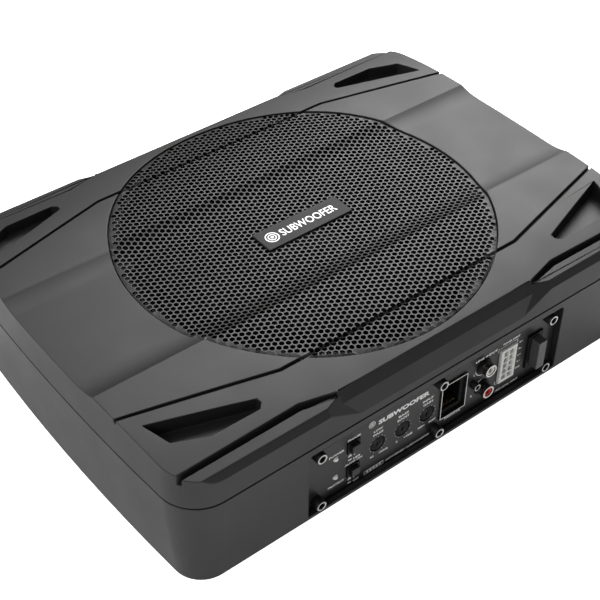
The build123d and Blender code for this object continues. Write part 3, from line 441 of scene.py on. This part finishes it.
def soften(node, radius):
    """Joins the node's faces, clears flat triangles and rounds its sharp edges."""
    piece = NODES[node]
    weld = piece.modifiers.new("weld", "WELD")
    weld.merge_threshold = WELD_DISTANCE
    flat = piece.modifiers.new("flat", "DECIMATE")
    flat.decimate_type = "DISSOLVE"
    flat.angle_limit = math.radians(FLAT_ANGLE)
    bevel = piece.modifiers.new("bevel", "BEVEL")
    bevel.width = radius
    bevel.segments = BEVEL_SEGMENTS
    bevel.limit_method = "ANGLE"
    bevel.angle_limit = math.radians(BEVEL_ANGLE)
    bevel.use_clamp_overlap = False
    bevel.miter_outer = "MITER_ARC"
    even = piece.modifiers.new("even", "WEIGHTED_NORMAL")
    even.weight = EVEN_WEIGHT
    even.keep_sharp = True


# ---- building blocks for new pieces ------------------------------------------------------------
def add_piece(name, work, materials, body):
    """Turns a bmesh into a piece that rides on a body. materials are names, in the slots' order."""
    mesh = bpy.data.meshes.new(name)
    bmesh.ops.recalc_face_normals(work, faces=work.faces)
    for face in work.faces:
        face.smooth = False
    work.to_mesh(mesh)
    work.free()
    for material in materials:
        mesh.materials.append(MATERIALS[material])
    made = bpy.data.objects.new(name, mesh)
    bpy.context.scene.collection.objects.link(made)
    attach(made, body)
    return made


def centre_of(node):
    low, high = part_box(node)
    return (low + high) / 2


def circle_points(radius, steps):
    turns = [2 * math.pi * k / steps for k in range(steps)]
    return [(radius * math.cos(turn), radius * math.sin(turn)) for turn in turns]


def arc_points(radius, start, end, steps):
    """Points from one angle to the other in degrees, both ends included."""
    turns = [math.radians(start + (end - start) * k / steps) for k in range(steps + 1)]
    return [(radius * math.cos(turn), radius * math.sin(turn)) for turn in turns]


def rectangle(width, height):
    return [(-width / 2, -height / 2), (width / 2, -height / 2), (width / 2, height / 2),
            (-width / 2, height / 2)]


# ---- perforated grille --------------------------------------------------------------------------
HOLE_PITCH = 3.63 * MM
HOLE_ACROSS = 2.92 * MM             # between the flats
HOLE_FLAT = 0.62                    # share of each side that stays straight
HOLE_REACH = 1.06                   # a hole's corner is this much farther out than its flat
RIM_TRIM = 0.05 * MM                # the sheet ends this much inside the CAD grille's edge
RIM_LAND = 0.15 * MM                # from the outermost holes, and from the cells, to the edge
RIM_STEPS = 480
RIM_CURL, RIM_CURL_WIDTH = 0.5 * MM, 0.9 * MM    # the outer edge is pressed down a little
PROBE_INSET = 0.1 * MM              # heights are read this much inside the edge
CREASES = (47.8 * MM, 87.9 * MM, 89.3 * MM, 90.7 * MM)     # the CAD grille's folds, at y and -y
CREASE_SNAP = 0.02 * MM


def hole_outline(across):
    """Twelve points of a hexagon whose corners are cut off, flats facing the six neighbours."""
    apothem = across / 2
    half_side = apothem * math.tan(math.radians(30)) * HOLE_FLAT
    points = []
    for k in range(6):
        angle = math.radians(30 + 60 * k)
        out = Vector((math.cos(angle), math.sin(angle), 0.0))
        along = Vector((-out.y, out.x, 0.0))
        points += [out * apothem - along * half_side, out * apothem + along * half_side]
    return points


def perforated_sheet(radius):
    """A flat disc with hexagonal holes, its rim filled out to a true circle, as a bmesh."""
    work = bmesh.new()
    hole = hole_outline(HOLE_ACROSS)
    column = HOLE_PITCH * math.sqrt(3) / 2
    corner_reach = HOLE_PITCH / math.sqrt(3)
    turns = [math.radians(60 * k) for k in range(6)]
    corners = [Vector((math.cos(turn), math.sin(turn), 0)) * corner_reach for turn in turns]
    shared, cells = {}, set()
    limit = radius - RIM_LAND

    def corner(at):
        key = (round(at.x * 2 / corner_reach), round(at.y * 2 / HOLE_PITCH))
        if key not in shared:
            shared[key] = work.verts.new(at * min(1.0, limit / at.length) if at.length else at)
        return shared[key]

    def cell_centre(i, j):
        return Vector((i * column, (j + (i % 2) / 2) * HOLE_PITCH, 0))

    def nearest_cell(at):
        whole = math.floor(at.x / column)
        choices = [(i, round(at.y / HOLE_PITCH - (i % 2) / 2)) for i in (whole, whole + 1)]
        return min(choices, key=lambda c: (cell_centre(*c) - at).length)

    reach = radius - RIM_LAND - HOLE_ACROSS / 2 * HOLE_REACH
    count = int(radius / column) + 1
    for i in range(-count, count + 1):
        for j in range(-count, count + 1):
            centre = cell_centre(i, j)
            if centre.length > reach:
                continue
            cells.add((i, j))
            inner = [work.verts.new(centre + p) for p in hole]
            outer = [corner(centre + c) for c in corners]
            for k in range(6):
                a, b, after = inner[2 * k], inner[2 * k + 1], inner[(2 * k + 2) % 12]
                start, end = outer[k], outer[(k + 1) % 6]
                work.faces.new((a, start, end, b))
                work.faces.new((b, end, after))

    used = set(shared.values())
    border = [e for e in work.edges
              if len(e.link_faces) == 1 and e.verts[0] in used and e.verts[1] in used]
    edge_verts = list(dict.fromkeys(v for e in border for v in e.verts))
    number = {v: k for k, v in enumerate(edge_verts)}
    edge_verts += [work.verts.new((x, y, 0)) for x, y in circle_points(radius, RIM_STEPS)]
    lines = [(number[e.verts[0]], number[e.verts[1]]) for e in border]
    flat, _, triangles, _, _, _ = delaunay_2d_cdt([v.co.xy for v in edge_verts], lines, [], 0, 1e-9)
    for triangle in triangles:
        middle = sum((flat[k] for k in triangle), Vector((0, 0))) / 3
        if nearest_cell(middle.to_3d()) not in cells:
            work.faces.new([edge_verts[k] for k in triangle])
    return work


def grille():
    """The perforated sheet, pressed to the CAD grille's upper and lower faces."""
    low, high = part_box("grille")
    solid = NODES["grille"]
    tree = BVHTree.FromPolygons([v.co for v in solid.data.vertices],
                                [p.vertices[:] for p in solid.data.polygons])
    radius = (high.x - low.x) / 2 - RIM_TRIM
    work = perforated_sheet(radius)
    for y in CREASES:
        for side in (-1, 1):
            everything = work.verts[:] + work.edges[:] + work.faces[:]
            bmesh.ops.bisect_plane(work, geom=everything, dist=CREASE_SNAP,
                                   plane_co=(0, side * y, 0), plane_no=(0, 1, 0))
    bmesh.ops.recalc_face_normals(work, faces=work.faces)
    top = work.faces[:]
    if top[0].normal.z < 0:
        bmesh.ops.reverse_faces(work, faces=top)
    upper = work.verts[:]
    copied = bmesh.ops.duplicate(work, geom=upper + work.edges[:] + top)
    originals = set(upper)
    below = {a: b for a, b in copied["vert_map"].items() if a in originals}
    under_faces = [f for f in copied["geom"] if isinstance(f, bmesh.types.BMFace)]
    bmesh.ops.reverse_faces(work, faces=under_faces)
    down, up = Vector((0, 0, -1)), Vector((0, 0, 1))
    inset = (radius - PROBE_INSET) / radius
    for vertex in upper:
        flat = vertex.co.copy()
        probe = flat * inset
        above, _, _, _ = tree.ray_cast(Vector((probe.x, probe.y, 1.0)), down)
        beneath, _, _, _ = tree.ray_cast(Vector((probe.x, probe.y, 0.0)), up)
        into_curl = max(0.0, flat.xy.length - (radius - RIM_CURL_WIDTH)) / RIM_CURL_WIDTH
        vertex.co.z = above.z - RIM_CURL * into_curl ** 2
        below[vertex].co.z = beneath.z
    # The hole walls and the underside get the near-black finish: painted shade inside the holes and
    # under the sheet.
    open_edges = [e for e in work.edges if len(e.link_faces) == 1 and e.verts[0] in below]
    for edge in open_edges:
        a, b = edge.verts
        loop = edge.link_faces[0].loops
        forward = any(c.vert == a and c.link_loop_next.vert == b for c in loop)
        first, second = (b, a) if forward else (a, b)
        work.faces.new((first, second, below[second], below[first])).material_index = 1
    for face in under_faces:
        face.material_index = 1
    made = add_piece("grille_mesh", work, ["grille_metal", "hole_black"],
                     "enclosure")
    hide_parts("grille")


# ---- socket screws with a bright rim, a painted highlight ----------------------------------------
SCREW_STEPS = 40
PANEL_SCREW = (3.5 * MM, 2.0 * MM, 1.6 * MM)     # radii of head and shank, half the key's width
BLOCK_SCREW_SHANK, BLOCK_SCREW_KEY = 1.5 * MM, 1.2 * MM
SHANK_TIP, TIP_CHAMFER = 0.75, 0.5 * MM          # share of the shank's radius; along the shank
SIDE_END = 0.45 * MM                             # the head's straight side ends below its rim
ROUND_IN, ROUND_END = 0.12 * MM, 0.16 * MM       # then it rounds in, to this far below the rim
RIM_OUTER, RIM_INNER = 0.85, 0.67                # shares of the head's radius
RIM_LIP = 0.1 * MM
FACE_INSET, FACE_SUNK = 0.12 * MM, 0.5 * MM      # the dark face, inside the rim and below it
SOCKET_DEPTH = 0.6                               # share of the head's height
SCREW_WELD = 0.004 * MM
# material slots: the black head, and its rim, where the highlight is painted
SCREW_BLACK, SCREW_RIM_HIGHLIGHT = 0, 1
SCREW_SHARP = 40                                 # degrees


def lathe_y(work, x, z, profile, slots):
    """Turns (radius, y) points about a line along Y through (x, z). slots has a slot per step."""
    rings = []
    for radius, y in profile:
        around = circle_points(radius, SCREW_STEPS) if radius else [(0, 0)]
        rings.append([work.verts.new((x + dx, y, z + dz)) for dx, dz in around])
    for slot, a, b in zip(slots, rings, rings[1:]):
        for k in range(SCREW_STEPS):
            n = (k + 1) % SCREW_STEPS
            corners = (a[0], b[k], b[n]) if len(a) == 1 else (a[k], b[k], b[n], a[n])
            work.faces.new(corners).material_index = slot


def hex_socket(work, x, z, y, radius, key, floor_y):
    """The dark face inside the rim with a hexagonal socket sunk in it."""
    circle = [work.verts.new((x + dx, y, z + dz)) for dx, dz in circle_points(radius, SCREW_STEPS)]
    corners = circle_points(key / math.cos(math.pi / 6), 6)
    mouth, base = [[work.verts.new((x + dx, depth, z + dz)) for dx, dz in corners]
                   for depth in (y, floor_y)]
    edges = [work.edges.new(pair) for ring in (circle, mouth)
             for pair in zip(ring, ring[1:] + ring[:1])]
    bmesh.ops.triangle_fill(work, use_beauty=True, edges=edges, normal=(0.0, -1.0, 0.0))
    for k in range(6):
        n = (k + 1) % 6
        work.faces.new((mouth[k], mouth[n], base[n], base[k]))
    work.faces.new(base)


def screw_set(node, places, plate, head_radius, shank_radius, key):
    """All screws of one CAD node as one piece: black bodies, bright rims that are a painted highlight
    on the heads' edge, hexagonal sockets.
    plate is the y of the plate that their heads stand on."""
    low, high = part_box(node)
    front, back = low.y, high.y
    rim_out, rim_in = head_radius * RIM_OUTER, head_radius * RIM_INNER
    face, face_radius = front + FACE_SUNK, rim_in - FACE_INSET
    # from the tip of the shank to the dark face inside the rim
    profile = [(0, back), (shank_radius * SHANK_TIP, back), (shank_radius, back - TIP_CHAMFER),
               (shank_radius, plate), (head_radius, plate), (head_radius, front + SIDE_END),
               (head_radius - ROUND_IN, front + ROUND_END), (rim_out, front),
               (rim_in, front), (rim_in - RIM_LIP, front + RIM_LIP), (face_radius, face)]
    slots = [SCREW_BLACK] * 7 + [SCREW_RIM_HIGHLIGHT] * 2 + [SCREW_BLACK]
    work = bmesh.new()
    for x, z in places:
        lathe_y(work, x, z, profile, slots)
        hex_socket(work, x, z, face, face_radius, key, front + (plate - front) * SOCKET_DEPTH)
    bmesh.ops.remove_doubles(work, verts=work.verts, dist=SCREW_WELD)
    made = add_piece(node + "_rimmed", work, ["screw_black", "bright_rim"],
                     "enclosure")
    shade_by_angle(made, SCREW_SHARP)
    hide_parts(node)


def shade_by_angle(piece, degrees):
    """Smooth shading, with sharp edges where faces meet at more than this angle."""
    work = bmesh.new()
    work.from_mesh(piece.data)
    for face in work.faces:
        face.smooth = True
    for edge in work.edges:
        if len(edge.link_faces) == 2:
            edge.smooth = edge.calc_face_angle(0.0) < math.radians(degrees)
    work.to_mesh(piece.data)
    work.free()


def screws():
    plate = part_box("control_panel")[0].y
    low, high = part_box("panel_screws")
    head = PANEL_SCREW[0]
    xs = (low.x + head, (low.x + high.x) / 2, high.x - head)
    places = [(x, z) for x in xs for z in (low.z + head, high.z - head)]
    screw_set("panel_screws", places, plate, *PANEL_SCREW)
    low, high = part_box("block_screw")
    middle = (low + high) / 2
    screw_set("block_screw", [(middle.x, middle.z)], plate, (high.x - low.x) / 2,
              BLOCK_SCREW_SHANK, BLOCK_SCREW_KEY)


# ---- printing -----------------------------------------------------------------------------------
PRINT_THICK = 0.03 * MM
TEXT_CURVE_STEPS = 3
RING_STEPS, LEAST_ARC_STEPS, DISC_STEPS = 36, 6, 20
# shares of the loudspeaker sign's radius
SIGN_RINGS, SIGN_DOT = ((1.0, 0.84), (0.62, 0.46)), 0.24


class Print:
    """Flat lettering and lines on a face. right and up are the directions of reading on it."""

    def __init__(self, right, up, out, thick=PRINT_THICK):
        self.right, self.up, self.out = Vector(right), Vector(up), Vector(out)
        self.thick = thick
        self.work = bmesh.new()

    def vertex(self, origin, u, v):
        """A new vertex of the print's outer face, u right and v up from origin."""
        place = Vector(origin) + self.right * u + self.up * v + self.out * self.thick
        return self.work.verts.new(place)

    def slab(self, loops, origin):
        """A thin plate from outlines in (u, v); later outlines are holes in the first."""
        edges, rings = [], []
        for loop in loops:
            ring = [self.vertex(origin, u, v) for u, v in loop]
            rings.append(ring)
            edges += [self.work.edges.new(pair) for pair in zip(ring, ring[1:] + ring[:1])]
        bmesh.ops.triangle_fill(self.work, use_beauty=True, edges=edges, normal=self.out)
        for ring in rings:
            low = [self.work.verts.new(v.co - self.out * self.thick) for v in ring]
            for k in range(len(ring)):
                n = (k + 1) % len(ring)
                self.work.faces.new((ring[k], ring[n], low[n], low[k]))

    def text(self, words, origin, height, width=None, bold=0.0):
        """Words centred on origin, with this height over all, and this width if one is given."""
        curve = bpy.data.curves.new("words", "FONT")
        curve.body = words
        curve.align_x, curve.align_y = "CENTER", "CENTER"
        curve.resolution_u = TEXT_CURVE_STEPS
        curve.offset = bold
        holder = bpy.data.objects.new("words", curve)
        bpy.context.scene.collection.objects.link(holder)
        bpy.context.view_layer.update()
        shape = bpy.data.meshes.new_from_object(holder)
        bpy.data.objects.remove(holder)
        xs, ys = [v.co.x for v in shape.vertices], [v.co.y for v in shape.vertices]
        scale_v = height / (max(ys) - min(ys))
        scale_u = scale_v if width is None else width / (max(xs) - min(xs))
        mid_x, mid_y = (max(xs) + min(xs)) / 2, (max(ys) + min(ys)) / 2
        top = [self.vertex(origin, (v.co.x - mid_x) * scale_u, (v.co.y - mid_y) * scale_v)
               for v in shape.vertices]
        for polygon in shape.polygons:
            self.work.faces.new([top[k] for k in polygon.vertices])
        bpy.data.meshes.remove(shape)
        borders = list(dict.fromkeys(e for v in top for e in v.link_edges
                                     if len(e.link_faces) == 1))
        under = {}
        for edge in borders:
            for vertex in edge.verts:
                if vertex not in under:
                    under[vertex] = self.work.verts.new(vertex.co - self.out * self.thick)
        for edge in borders:
            a, b = edge.verts
            self.work.faces.new((a, b, under[b], under[a]))

    def ring(self, origin, outer, inner):
        self.slab([circle_points(outer, RING_STEPS), circle_points(inner, RING_STEPS)], origin)

    def arc(self, origin, outer, inner, start, end):
        """Part of a ring, from one angle to the other in degrees."""
        steps = max(LEAST_ARC_STEPS, round(RING_STEPS * (end - start) / 360))
        back = reversed(arc_points(inner, start, end, steps))
        self.slab([[*arc_points(outer, start, end, steps), *back]], origin)

    def disc(self, origin, radius, steps=DISC_STEPS):
        self.slab([circle_points(radius, steps)], origin)

    def bar(self, origin, width, height):
        self.slab([rectangle(width, height)], origin)

    def frame(self, origin, width, height, line):
        hole = rectangle(width - 2 * line, height - 2 * line)
        self.slab([rectangle(width, height), hole], origin)

    def speaker_sign(self, origin, size):
        """A plain round loudspeaker sign: a dot in two rings."""
        for outer, inner in SIGN_RINGS:
            self.ring(origin, size / 2 * outer, size / 2 * inner)
        self.disc(origin, size / 2 * SIGN_DOT)

    def finish(self, name, material, slot, body="enclosure"):
        add_piece(name, self.work, [material], body)


# shares of the badge: the sign's place and size, then the word's place, height and width
BADGE_SIGN_X, BADGE_SIGN_SIZE = 0.135, 0.50
BADGE_WORD_X, BADGE_WORD_HEIGHT, BADGE_WORD_WIDTH, BADGE_BOLD = 0.565, 0.34, 0.66, 0.008


def badge_print():
    low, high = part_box("grille_badge")
    length, depth = high.x - low.x, high.y - low.y
    ink = Print((1, 0, 0), (0, 1, 0), (0, 0, 1))

    def at(share):
        return (low.x + length * share, (low.y + high.y) / 2, high.z)

    ink.speaker_sign(at(BADGE_SIGN_X), depth * BADGE_SIGN_SIZE)
    ink.text("SUBWOOFER", at(BADGE_WORD_X), depth * BADGE_WORD_HEIGHT, length * BADGE_WORD_WIDTH,
             bold=BADGE_BOLD)
    ink.finish("badge_print", "mark_silver", "badge_plate")


LABEL_HEIGHT, LABEL_BOLD = 1.6 * MM, 0.03


class PanelPrint(Print):
    """Printing that faces the front. A place on the plate is some mm right and up from a point."""

    def __init__(self, thick=PRINT_THICK):
        super().__init__((1, 0, 0), (0, 0, 1), (0, -1, 0), thick)
        self.plate_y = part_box("control_panel")[0].y

    def at(self, point, right=0.0, up=0.0):
        return (point.x + right * MM, self.plate_y, point.z + up * MM)

    def label(self, word, point, right, up, width=None):
        """A small label, its width in mm."""
        self.text(word, self.at(point, right, up), LABEL_HEIGHT, width and width * MM,
                  bold=LABEL_BOLD)


KNOBS = ("gain_knob", "crossover_knob", "boost_knob")
RIB_COUNT, RIB_THICK = 16, 0.3 * MM
# a rib's corners in mm: how far from the knob's middle, and how far to the side
RIB_CORNERS = ((1.6, -0.125), (4.1, -0.25), (4.1, 0.25), (1.6, 0.125))


def knob_ribs():
    """Raised ribs on the face of each knob; they turn with it."""
    for knob in KNOBS:
        middle, face_y = centre_of(knob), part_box(knob)[0].y
        ribs = PanelPrint(RIB_THICK)
        for k in range(RIB_COUNT):
            angle = 2 * math.pi * (k + 0.5) / RIB_COUNT
            along = Vector((math.cos(angle), math.sin(angle)))
            across = Vector((-along.y, along.x))
            corners = [(along * reach + across * side) * MM for reach, side in RIB_CORNERS]
            ribs.slab([[tuple(corner) for corner in corners]], (middle.x, face_y, middle.z))
        ribs.finish(knob + "_ribs", "black_gloss", "black_moulding", knob)


CELL_PITCH, CELL_WIDTH, CELL_HOLE, CELL_DEPTH = 4.5 * MM, 3.6 * MM, 1.74 * MM, 1.3 * MM
CELL_COLUMNS, CELL_ROWS = (-0.5, 0.5), range(-2, 3)      # in pitches from the connector's middle


def header_cell_shade():
    """Greyer floors in the ten cells of the white connector, each round its pin hole: painted shade
    in the depth of the cells.
    """
    middle, floor_y = centre_of("power_header"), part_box("power_header")[0].y + CELL_DEPTH
    floors = PanelPrint()
    for column in CELL_COLUMNS:
        for row in CELL_ROWS:
            floors.slab([rectangle(CELL_WIDTH, CELL_WIDTH), rectangle(CELL_HOLE, CELL_HOLE)],
                        (middle.x + column * CELL_PITCH, floor_y, middle.z + row * CELL_PITCH))
    floors.finish("header_cell_shade", "cell_painted_shade", "white_moulding")


# Labels of the panel. A place is (right, up) in mm from what it belongs to; then comes the width.
# per knob: two title lines, then the legends left and right below, each with its width
KNOB_LABELS = ((("LOW", 6.6), ("PASS", 7.1), ("50", 2.6), ("150Hz", 6.4)),
               (("BASS", 7.4), ("BOOST", 8.6), ("0", 1.3), ("+12dB", 6.5)),
               (("INPUT", 8.0), ("GAIN", 7.2), ("MIN", 4.8), ("MAX", 5.3)))
KNOB_LABEL_PLACES = ((0.0, 11.5), (0.0, 8.6), (-3.9, -8.2), (4.5, -8.2))
SCALE_DOTS, SCALE_START, SCALE_STEP = 11, -60, 30        # degrees
SCALE_RADIUS, DOT_RADIUS, DOT_STEPS = 5.9 * MM, 0.22 * MM, 8
SIGN_PLACE, SIGN_SIZE = (-4.8, 18.4), 4.6 * MM
NAME_PLACE, NAME_HEIGHT, NAME_WIDTH, NAME_BOLD = (0.2, 17.0), 3.5 * MM, 36.9 * MM, 0.045
FOOT_UP = 2.8 * MM                                       # the foot line, from the plate's low edge
BLOCK_RIGHT, BLOCK_SIZE = -2.1, (14.0 * MM, 2.8 * MM, 0.35 * MM)
BLOCK_BARS, BLOCK_BAR_PITCH, BLOCK_BAR_SIZE = range(-2, 3), 2.3, (1.4 * MM, 1.6 * MM)
FOOT_RIGHT, FOOT_WIDTH = 5.1, 32.8
CONTROL_LABELS = (("POWER", "power_led", 3.6, 10.5), ("PROTECT", "protect_led", -6.0, 11.3),
                  ("PHASE", "phase_button", 5.6, 8.9), ("AUTO ON", "input_button", 5.6, 12.3))
CONTROL_LABEL_RIGHT = 0.5
SWITCH_LABELS = (("phase_button", "180", 4.6), ("input_button", "OFF", 3.9))
SWITCH_LEGEND_PLACE, SWITCH_ZERO_PLACE = (2.7, -10.9), (1.1, -7.5)
# the out and in signs beside a switch: two bars, one under a triangle
SWITCH_BAR_RIGHT, SWITCH_BARS_UP, SWITCH_BAR_SIZE = -2.1, (-7.3, -10.2), (2.4 * MM, 0.8 * MM)
SWITCH_ARROW_UP, SWITCH_ARROW = -6.6, [(-0.8 * MM, 0), (0.8 * MM, 0), (0, 1.0 * MM)]
REMOTE_RIGHT, REMOTE_UP, REMOTE_WIDTH = 1.5, -2.9, 12.2
PHONO_TITLE = (1.4, 6.5, 17.1)
PHONO_ARC = (6.9 * MM, 6.45 * MM)
# per phono socket: its letter and place, and the angles of the arc beside it
PHONO_LABELS = (("L", -7.2, -3.5, 190, 262), ("R", -7.8, -3.1, 98, 170))
HEADER_MARGIN, BRACKET_LINE, BRACKET_ARM = 1.4, 0.32 * MM, 3.0 * MM
BRACKET_UP = 1.3
POWER_TITLE, LEVEL_TITLE = (2.4, 3.3, 13.4), (3.1, -7.4, 18.3)
PIN_LABELS = ("R+", "R-", "L+", "L-", "GND")
PIN_LABEL_RIGHT, PIN_LABEL_HEIGHT = 4.6, 1.4 * MM
PIN_LABEL_WIDTH, PIN_LABEL_LETTER = 0.2 * MM, 1.15 * MM


def knob_labels(ink, knobs):
    """Titles, legends and a scale of dots at each knob, and the lines above and below them all."""
    for knob, words in zip(knobs, KNOB_LABELS):
        for (word, width), place in zip(words, KNOB_LABEL_PLACES):
            ink.label(word, knob, *place, width)
        for k in range(SCALE_DOTS):
            angle = math.radians(SCALE_START + SCALE_STEP * k)
            dot = knob + SCALE_RADIUS * Vector((math.cos(angle), 0, math.sin(angle)))
            ink.disc(ink.at(dot), DOT_RADIUS, DOT_STEPS)
    ink.speaker_sign(ink.at(knobs[0], *SIGN_PLACE), SIGN_SIZE)
    ink.text("SUBWOOFER", ink.at(knobs[1], *NAME_PLACE), NAME_HEIGHT, NAME_WIDTH, bold=NAME_BOLD)

    foot_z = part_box("control_panel")[0].z + FOOT_UP
    block, middle = (Vector((knob.x, knob.y, foot_z)) for knob in knobs[:2])
    ink.frame(ink.at(block, BLOCK_RIGHT), *BLOCK_SIZE)
    for k in BLOCK_BARS:
        ink.bar(ink.at(block, k * BLOCK_BAR_PITCH + BLOCK_RIGHT), *BLOCK_BAR_SIZE)
    ink.label("POWERED SUBWOOFER", middle, FOOT_RIGHT, 0, FOOT_WIDTH)


def switch_labels(ink):
    """Titles of the indicators and switches, and the signs under each switch."""
    for word, node, up, width in CONTROL_LABELS:
        ink.label(word, centre_of(node), CONTROL_LABEL_RIGHT, up, width)
    for node, legend, width in SWITCH_LABELS:
        button = centre_of(node)
        for up in SWITCH_BARS_UP:
            ink.bar(ink.at(button, SWITCH_BAR_RIGHT, up), *SWITCH_BAR_SIZE)
        ink.slab([SWITCH_ARROW], ink.at(button, SWITCH_BAR_RIGHT, SWITCH_ARROW_UP))
        ink.label(legend, button, *SWITCH_LEGEND_PLACE, width)
        ink.label("0", button, *SWITCH_ZERO_PLACE)


def socket_labels(ink):
    """Labels of the remote and phono sockets."""
    remote = centre_of("remote_shell")
    remote.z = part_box("remote_shell")[0].z
    ink.label("REMOTE", remote, REMOTE_RIGHT, REMOTE_UP, REMOTE_WIDTH)

    low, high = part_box("rca_shells")
    radius = (high.x - low.x) / 2
    upper, lower = (Vector((low.x + radius, low.y, z)) for z in (high.z - radius, low.z + radius))
    ink.label("LINE INPUT", upper, *PHONO_TITLE)
    for socket, (letter, right, up, start, end) in zip((upper, lower), PHONO_LABELS):
        ink.label(letter, socket, right, up)
        ink.arc(ink.at(socket), *PHONO_ARC, start, end)


def header_labels(ink):
    """A bracket round the multi-pin connector and plain labels beside it."""
    low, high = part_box("power_header")
    middle = (low + high) / 2
    above, below = (Vector((middle.x, low.y, z)) for z in (high.z, low.z))
    half = (high.x - low.x) / 2 / MM + HEADER_MARGIN
    ink.label("POWER INPUT", above, *POWER_TITLE)
    for point, side in ((above, 1), (below, -1)):
        ink.bar(ink.at(point, 0, side * BRACKET_UP), 2 * half * MM, BRACKET_LINE)
        for right in (-half, half):
            ink.bar(ink.at(point, right, side * (BRACKET_UP - BRACKET_ARM / MM / 2)),
                    BRACKET_LINE, BRACKET_ARM)
    for row, word in enumerate(PIN_LABELS):
        beside = Vector((high.x, low.y, high.z - (row + 0.5) * (high.z - low.z) / len(PIN_LABELS)))
        ink.text(word, ink.at(beside, PIN_LABEL_RIGHT), PIN_LABEL_HEIGHT,
                 PIN_LABEL_WIDTH + PIN_LABEL_LETTER * len(word), bold=LABEL_BOLD)
    ink.label("HIGH LEVEL INPUT", below, *LEVEL_TITLE)


def panel_print():
    """Generic labels round the controls and sockets."""
    ink = PanelPrint()
    knob_labels(ink, [centre_of(node) for node in KNOBS])
    switch_labels(ink)
    socket_labels(ink)
    header_labels(ink)
    ink.finish("panel_print", "white_print", "panel_plate")


# ---- putting it together ------------------------------------------------------------------------
MATERIALS = make_materials()
for part in frame["record"]["subparts"]:
    mesh = NODES[part["node"]].data
    mesh.materials.clear()
    mesh.materials.append(MATERIALS[part["material_slot"]])
for node_name, radius_mm in SOFT_EDGES.items():
    soften(node_name, radius_mm * MM)

grille()
screws()
badge_print()
panel_print()
knob_ribs()
header_cell_shade()

camera()
lights()
world()
floor()
bpy.context.scene.view_settings.view_transform = "Standard"
